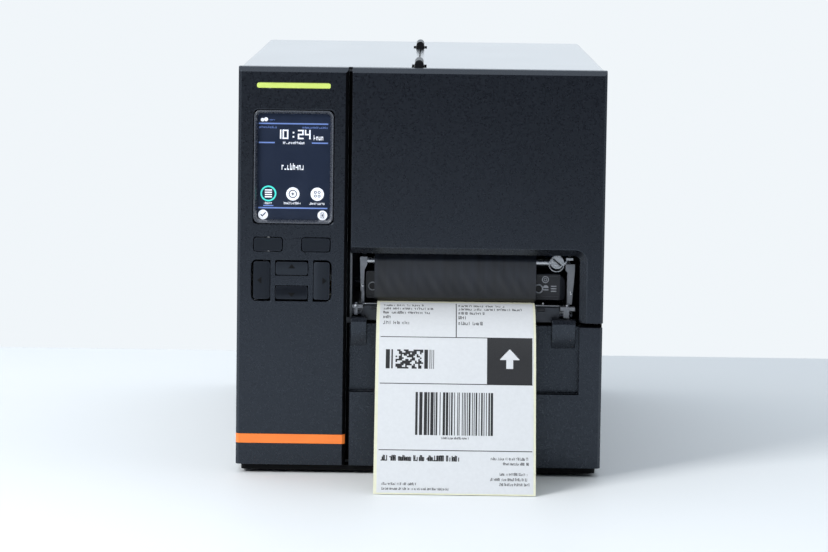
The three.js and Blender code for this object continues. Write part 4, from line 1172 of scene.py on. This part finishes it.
def board_parts():
    """Capacitors, headers, small chips and a finned heat sink on the main board."""
    parts = Piece("board_parts", "black_plastic", "supply_steel", "gear_white", "gold_contact")
    for d, z, radius, high in ((290, 112, 6, 13), (290, 128, 6, 13), (272, 112, 5, 11), (312, 112, 5, 11),
                               (312, 128, 4, 9), (106, 110, 4, 8), (106, 122, 4, 8)):
        parts.turned((BOARD_FACE, d, z), "x", [(0.2, radius), (-high + 0.6, radius),
                                               (-high, radius - 0.8)], 24)
        parts.turned((BOARD_FACE, d, z), "x", [(-high, radius - 1.1), (-high - 0.12, radius - 1.3)], 24, 1)
    for d in range(120, 240, 28):
        parts.box(-75, BOARD_FACE + 0.1, d, d + 20, 230, 236.5, 2)
        for i in range(7):
            at = d + 2 + i * 2.6
            parts.box(-73.6, -66, at, at + 0.8, 236.3, 237.6, 3)
    for i in range(9):
        parts.box(-85, BOARD_FACE + 0.1, 262 + i * 3.6, 263.4 + i * 3.6, 150, 190, 1)
    parts.box(-68, BOARD_FACE + 0.1, 260, 294, 149, 191, 1)
    drawn = random.Random(11)
    for i in range(44):
        d, z = drawn.uniform(116, 245), drawn.uniform(100, 224)
        long, wide = drawn.choice(((3.2, 1.6), (2, 1.2), (6, 4)))
        if 105 < d + long and d < 192 and z > 104 or d > 203 and z > 162:
            continue
        parts.box(-67.1, BOARD_FACE + 0.1, d, d + long, z, z + wide, drawn.choice((0, 0, 1, 2)))
    return parts.make(edge=0.12)


def supply_parts():
    """Louvres, a terminal strip and screws on the power supply's case."""
    parts = Piece("supply_louvres", "supply_steel", "black_plastic", "bright_steel", "socket_dark")
    for row in range(2):
        for i in range(14):
            d = 214 + i * 11
            x = -112 + row * 24
            parts.side([(d, 59.9), (d + 5, 59.9), (d + 5, 61.2), (d + 4.4, 61.5)], x, x + 20)
    parts.box(-112, -70, 186, 200.1, 22, 40, 1)
    for i in range(5):
        screw_head(parts, (-107 + i * 8, 193, 40), 2.6, 1.2, "z", 1, 2, 3)
    for d in (206, 374):
        for x in (-114, -68):
            screw_head(parts, (x, d, 60), 2.4, 1.2, "z", 1, 2, 3)
    return parts.make(edge=0.1)


def motor_parts():
    """The motor's end bell, its screws and its plug."""
    parts = Piece("motor_end", "supply_steel", "gear_white", "socket_dark")
    centre = (0, *MOTOR_AT)
    parts.turned(centre, "x", [(-108.1, 19), (-110.4, 19), (-111, 18.2)], 40)
    parts.turned(centre, "x", [(-111, 7), (-113.4, 7), (-114, 6.2)], 32)
    for i in range(4):
        t = math.radians(45 + 90 * i)
        place = (-111, MOTOR_AT[0] + 14.5 * math.cos(t), MOTOR_AT[1] + 14.5 * math.sin(t))
        screw_head(parts, place, 1.8, 1.0, "x", -1, 0, 2)
    parts.box(-104, -94, 60.5, 66, 112, 126, 1)
    return parts.make(edge=0.12)


roll_core("label_roll_core", "label_roll", ROLL_AT, 12.75, 14.8, -29.1, 77.8)
roll_core("supply_core", "supply_reel", SUPPLY_AT, 12.45, 14.3, RIBBON_X0, RIBBON_X1)
roll_core("rewind_core", "rewind_reel", REWIND_AT, 12.45, 14.3, RIBBON_X0, RIBBON_X1)
wall_fixings()
board_parts()
supply_parts()
motor_parts()


# ---- Rear: sockets, switch marks, screws and the slot's lip ----
REAR_FACE = 434.8
INLET_BOX = (-101, -73, 20, 41)
ROCKER_BOX = (-97, -77, 52, 66)
FANFOLD_BOX = (-32, 84, 60, 66)
ROCKER_AT = (428.5, 59)
ROCKER_LEAN = math.radians(8)


SOCKETS = {"flat": (-67, -53, 22, 29), "square": (-67, -55, 36, 47), "network": (-69, -53, 54, 68)}
SERIAL = (-85, -53, 76, 88)


def shell(piece, box, wall, corner, depth):
    """A socket's open metal shell with a closed back."""
    outer = inset(box, 0.2, 0.2, corner)
    inner = inset(box, 0.2 + wall, 0.2 + wall, max(corner - wall, 0.1))
    piece.rim(outer, inner, REAR_FACE - depth, REAR_FACE + 0.4, 1)
    piece.plate(outer, REAR_FACE - depth - 1, REAR_FACE - depth)


def sockets():
    """What is inside the data ports: shells, tongues and contacts."""
    made = Piece("data_sockets", "socket_dark", "bright_steel", "gold_contact", "gear_white",
                 slot="inlet_black")

    def sunk(x0, x1, back, front, z0, z1, finish):
        made.box(x0, x1, REAR_FACE - back, REAR_FACE - front, z0, z1, finish)

    shell(made, SOCKETS["flat"], 0.5, 0.8, 12)
    sunk(-65.4, -54.6, 12, 1.5, 26.2, 27.8, 3)
    for i in range(4):
        sunk(-64.3 + i * 2.6, -63.1 + i * 2.6, 10, 2, 26.0, 26.3, 2)
    shell(made, SOCKETS["square"], 0.6, 1.6, 12)
    sunk(-63.8, -58.2, 12, 1.5, 40.2, 43.2, 3)
    for side in (40.0, 43.1):
        for x in (-62.6, -60.4):
            sunk(x, x + 1.1, 10, 2, side, side + 0.3, 2)
    shell(made, SOCKETS["network"], 0.7, 0.8, 14)
    sunk(-68, -54, 14, 0.6, 65.2, 67.0, 0)
    for i in range(8):
        sunk(-65.9 + i * 1.4, -65.3 + i * 1.4, 12, 2, 64.6, 65.3, 2)
    sunk(-67.6, -65.6, 1.4, 0.3, 55, 56.6, 3)
    made.rim(inset(SERIAL, 0.3, 0.3, 0.6), inset(SERIAL, 8, 2, 2), REAR_FACE - 1.4, REAR_FACE - 0.5, 1)
    made.rim(inset(SERIAL, 7.4, 1.6, 2.2), inset(SERIAL, 8, 2.2, 1.8), REAR_FACE - 8, REAR_FACE + 1.0, 1)
    made.plate(inset(SERIAL, 1, 1, 1), REAR_FACE - 9, REAR_FACE - 7.5)
    pin = [(REAR_FACE - 8, 0.5), (REAR_FACE - 1.6, 0.5), (REAR_FACE - 1.3, 0.3)]
    for row, count in ((83.4, 5), (80.6, 4)):
        for i in range(count):
            made.turned((-69 + (i - (count - 1) / 2) * 2.6, 0, row), "d", pin, 12, 2)
    for x in (SERIAL[0] + 3.6, SERIAL[1] - 3.6):
        made.turned((x, 0, 82), "d", [(REAR_FACE - 1, 2.3), (REAR_FACE + 0.9, 2.3)], 6, 1)
        made.turned((x, 0, 82), "d", [(REAR_FACE + 0.5, 1.1), (REAR_FACE + 0.95, 1.1)], 20, 0)
    return made.make(edge=0.08)


def inlet_blades():
    """The three blades in the power inlet."""
    x0, x1, z0, z1 = INLET_BOX
    mid, level = (x0 + x1) / 2, (z0 + z1) / 2
    blades = Piece("inlet_blades", "bright_steel")
    for x, z in ((mid - 7, level - 1.5), (mid + 7, level - 1.5), (mid, level + 2)):
        blades.box(x - 1.12, x + 1.12, 419.5, 432.2, z - 2.32, z + 2.32)
    return blades.make(edge=0.3)


RING_SIDES = 28


def rocker_marks():
    """A bar and a ring, raised on the two halves of the power switch, in a glowing white: painted light.
    """
    # painted light: the switch marks take the glowing screen_white finish, though the switch is not lit
    marks = Piece("rocker_marks", "screen_white", body="power_rocker", slot="inlet_black")
    middle = (ROCKER_BOX[0] + ROCKER_BOX[1]) / 2
    half = (ROCKER_BOX[3] - ROCKER_BOX[2]) / 2 - 0.8

    def on_rocker(x, stand, z):
        d = 4.4 + 0.8 * abs(z) / half + stand
        return (middle + x,
                ROCKER_AT[0] + d * math.cos(ROCKER_LEAN) + z * math.sin(ROCKER_LEAN),
                ROCKER_AT[1] - d * math.sin(ROCKER_LEAN) + z * math.cos(ROCKER_LEAN))

    bar_line = [(-0.4, 1.5), (0.4, 1.5), (0.4, 4.7), (-0.4, 4.7)]
    marks.loft([[on_rocker(x, stand, z) for x, z in bar_line] for stand in (-0.2, 0.12)])
    rings = []
    for radius, stand in ((1.1, -0.2), (1.7, -0.2), (1.7, 0.12), (1.1, 0.12)):
        turn = [2 * math.pi * i / RING_SIDES for i in range(RING_SIDES)]
        rings.append([on_rocker(radius * math.cos(t), stand, -3.1 + radius * math.sin(t)) for t in turn])
    marks.hoop(rings)
    return marks.make()


def rear_fittings():
    screws = Piece("rear_screws", "hinge_black", "socket_dark")
    for half, heights in ((117, (20, 100, 180, 256)), (40, (266, 14))):
        for x in (-half, half):
            for z in heights:
                screw_head(screws, (x, REAR_FACE, z), 2.9, 1.0, "d", 1, 0, 1)
    screws.make(edge=0.1)
    for name, finish, box, out, corner, gap, hole, edge in (
        ("fanfold_lip", "black_plastic", FANFOLD_BOX, 2.4, 2, 0.2, 0.8, 0.35),
        ("rocker_frame", "inlet_black", ROCKER_BOX, 2, 1.6, 0, 0.8, 0.3),
    ):
        ring = Piece(name, finish)
        outer, inner = inset(box, -out, -out, corner), inset(box, -gap, -gap, hole)
        ring.rim(outer, inner, REAR_FACE - 0.2, REAR_FACE + 0.9)
        ring.make(edge=edge)
    baffle = Piece("vent_baffle", "socket_dark", slot="skin_metal")
    baffle.box(-116, -52, 420, 421.2, 190, 242)
    baffle.make(edge=0.2)


sockets()
inlet_blades()
rocker_marks()
rear_fittings()

# ---- Floor, surroundings and lights ----
TABLE_EDGE = 0.455
TABLE_HALF = 3.2
TABLE_NEAR = -1.6
BACKDROP = (0.878, 0.922, 0.956)
WORLD_STRENGTH = 1.3


def plain(name, points, material):
    mesh = bpy.data.meshes.new(name)
    mesh.from_pydata(points, [], [tuple(range(len(points)))])
    mesh.materials.append(material)
    made = add_object(name, mesh)
    return made


def table_top():
    shade = Shade("table_white").set(Specular_IOR_Level=0.25)
    drift = shade.noise(3, 3)
    shade.colour(shade.ramp(drift, [(0.3, (0.86, 0.885, 0.9)), (0.7, (0.88, 0.9, 0.91))]))
    shade.rough(shade.ramp(drift, [(0.3, 0.55), (0.7, 0.65)]))
    return plain("table_top", [
        (-TABLE_HALF, TABLE_NEAR, 0), (TABLE_HALF, TABLE_NEAR, 0),
        (TABLE_HALF, TABLE_EDGE, 0), (-TABLE_HALF, TABLE_EDGE, 0),
    ], shade.material)


def surroundings():
    """Light from behind and above, with less from the front. The camera sees a flat backdrop."""
    world = bpy.data.worlds.new("studio")
    bpy.context.scene.world = world
    world.use_nodes = True
    tree = world.node_tree
    where = tree.nodes.new("ShaderNodeTexCoord").outputs["Generated"]
    split = add_node(tree, "ShaderNodeSeparateXYZ", {0: where})

    def scaled(value, share, more):
        made = add_node(tree, "ShaderNodeMath", {0: value, 1: share, 2: more}, operation="MULTIPLY_ADD")
        return made.outputs[0]

    back = scaled(split.outputs["Y"], 0.45, 0.45)
    sky = colour_ramp(tree, scaled(split.outputs["Z"], 0.42, back), [
        (0.0, (0.04, 0.045, 0.06)), (0.44, (0.07, 0.085, 0.11)), (0.7, (0.60, 0.64, 0.68)),
        (0.895, (0.675, 0.709, 0.735)), (0.95, (0.64, 0.715, 0.795)),
    ])
    lit = tree.nodes["Background"]
    lit.inputs["Strength"].default_value = WORLD_STRENGTH
    tree.links.new(sky, lit.inputs["Color"])
    seen = add_node(tree, "ShaderNodeBackground", {"Color": (*BACKDROP, 1)})
    from_camera = tree.nodes.new("ShaderNodeLightPath").outputs["Is Camera Ray"]
    either = add_node(tree, "ShaderNodeMixShader", {0: from_camera, 1: lit.outputs[0], 2: seen.outputs[0]})
    tree.links.new(either.outputs[0], tree.nodes["World Output"].inputs["Surface"])


def softbox(name, place, target, wide, high, power, colour):
    lamp = bpy.data.lights.new(name, "AREA")
    lamp.shape = "RECTANGLE"
    lamp.size = wide
    lamp.size_y = high
    lamp.energy = power
    lamp.color = colour
    made = add_object(name, lamp)
    made.location = place
    made.rotation_euler = (Vector(target) - Vector(place)).to_track_quat("-Z", "Y").to_euler()


table_top()
surroundings()
softbox("key", (-1.5, -1.45, 1.5), (0, 0, 0.05), 0.9, 0.9, 41, (1.0, 1.0, 1.0))
softbox("above", (-0.3, 0.4, 2.6), (0, 0, 0), 2.4, 2.0, 8, (0.97, 0.99, 1.0))
softbox("low_left", (-1.5, -2.2, 0.25), (-0.1, 0, 0.1), 0.9, 0.5, 2.0, (0.9, 0.95, 1.0))
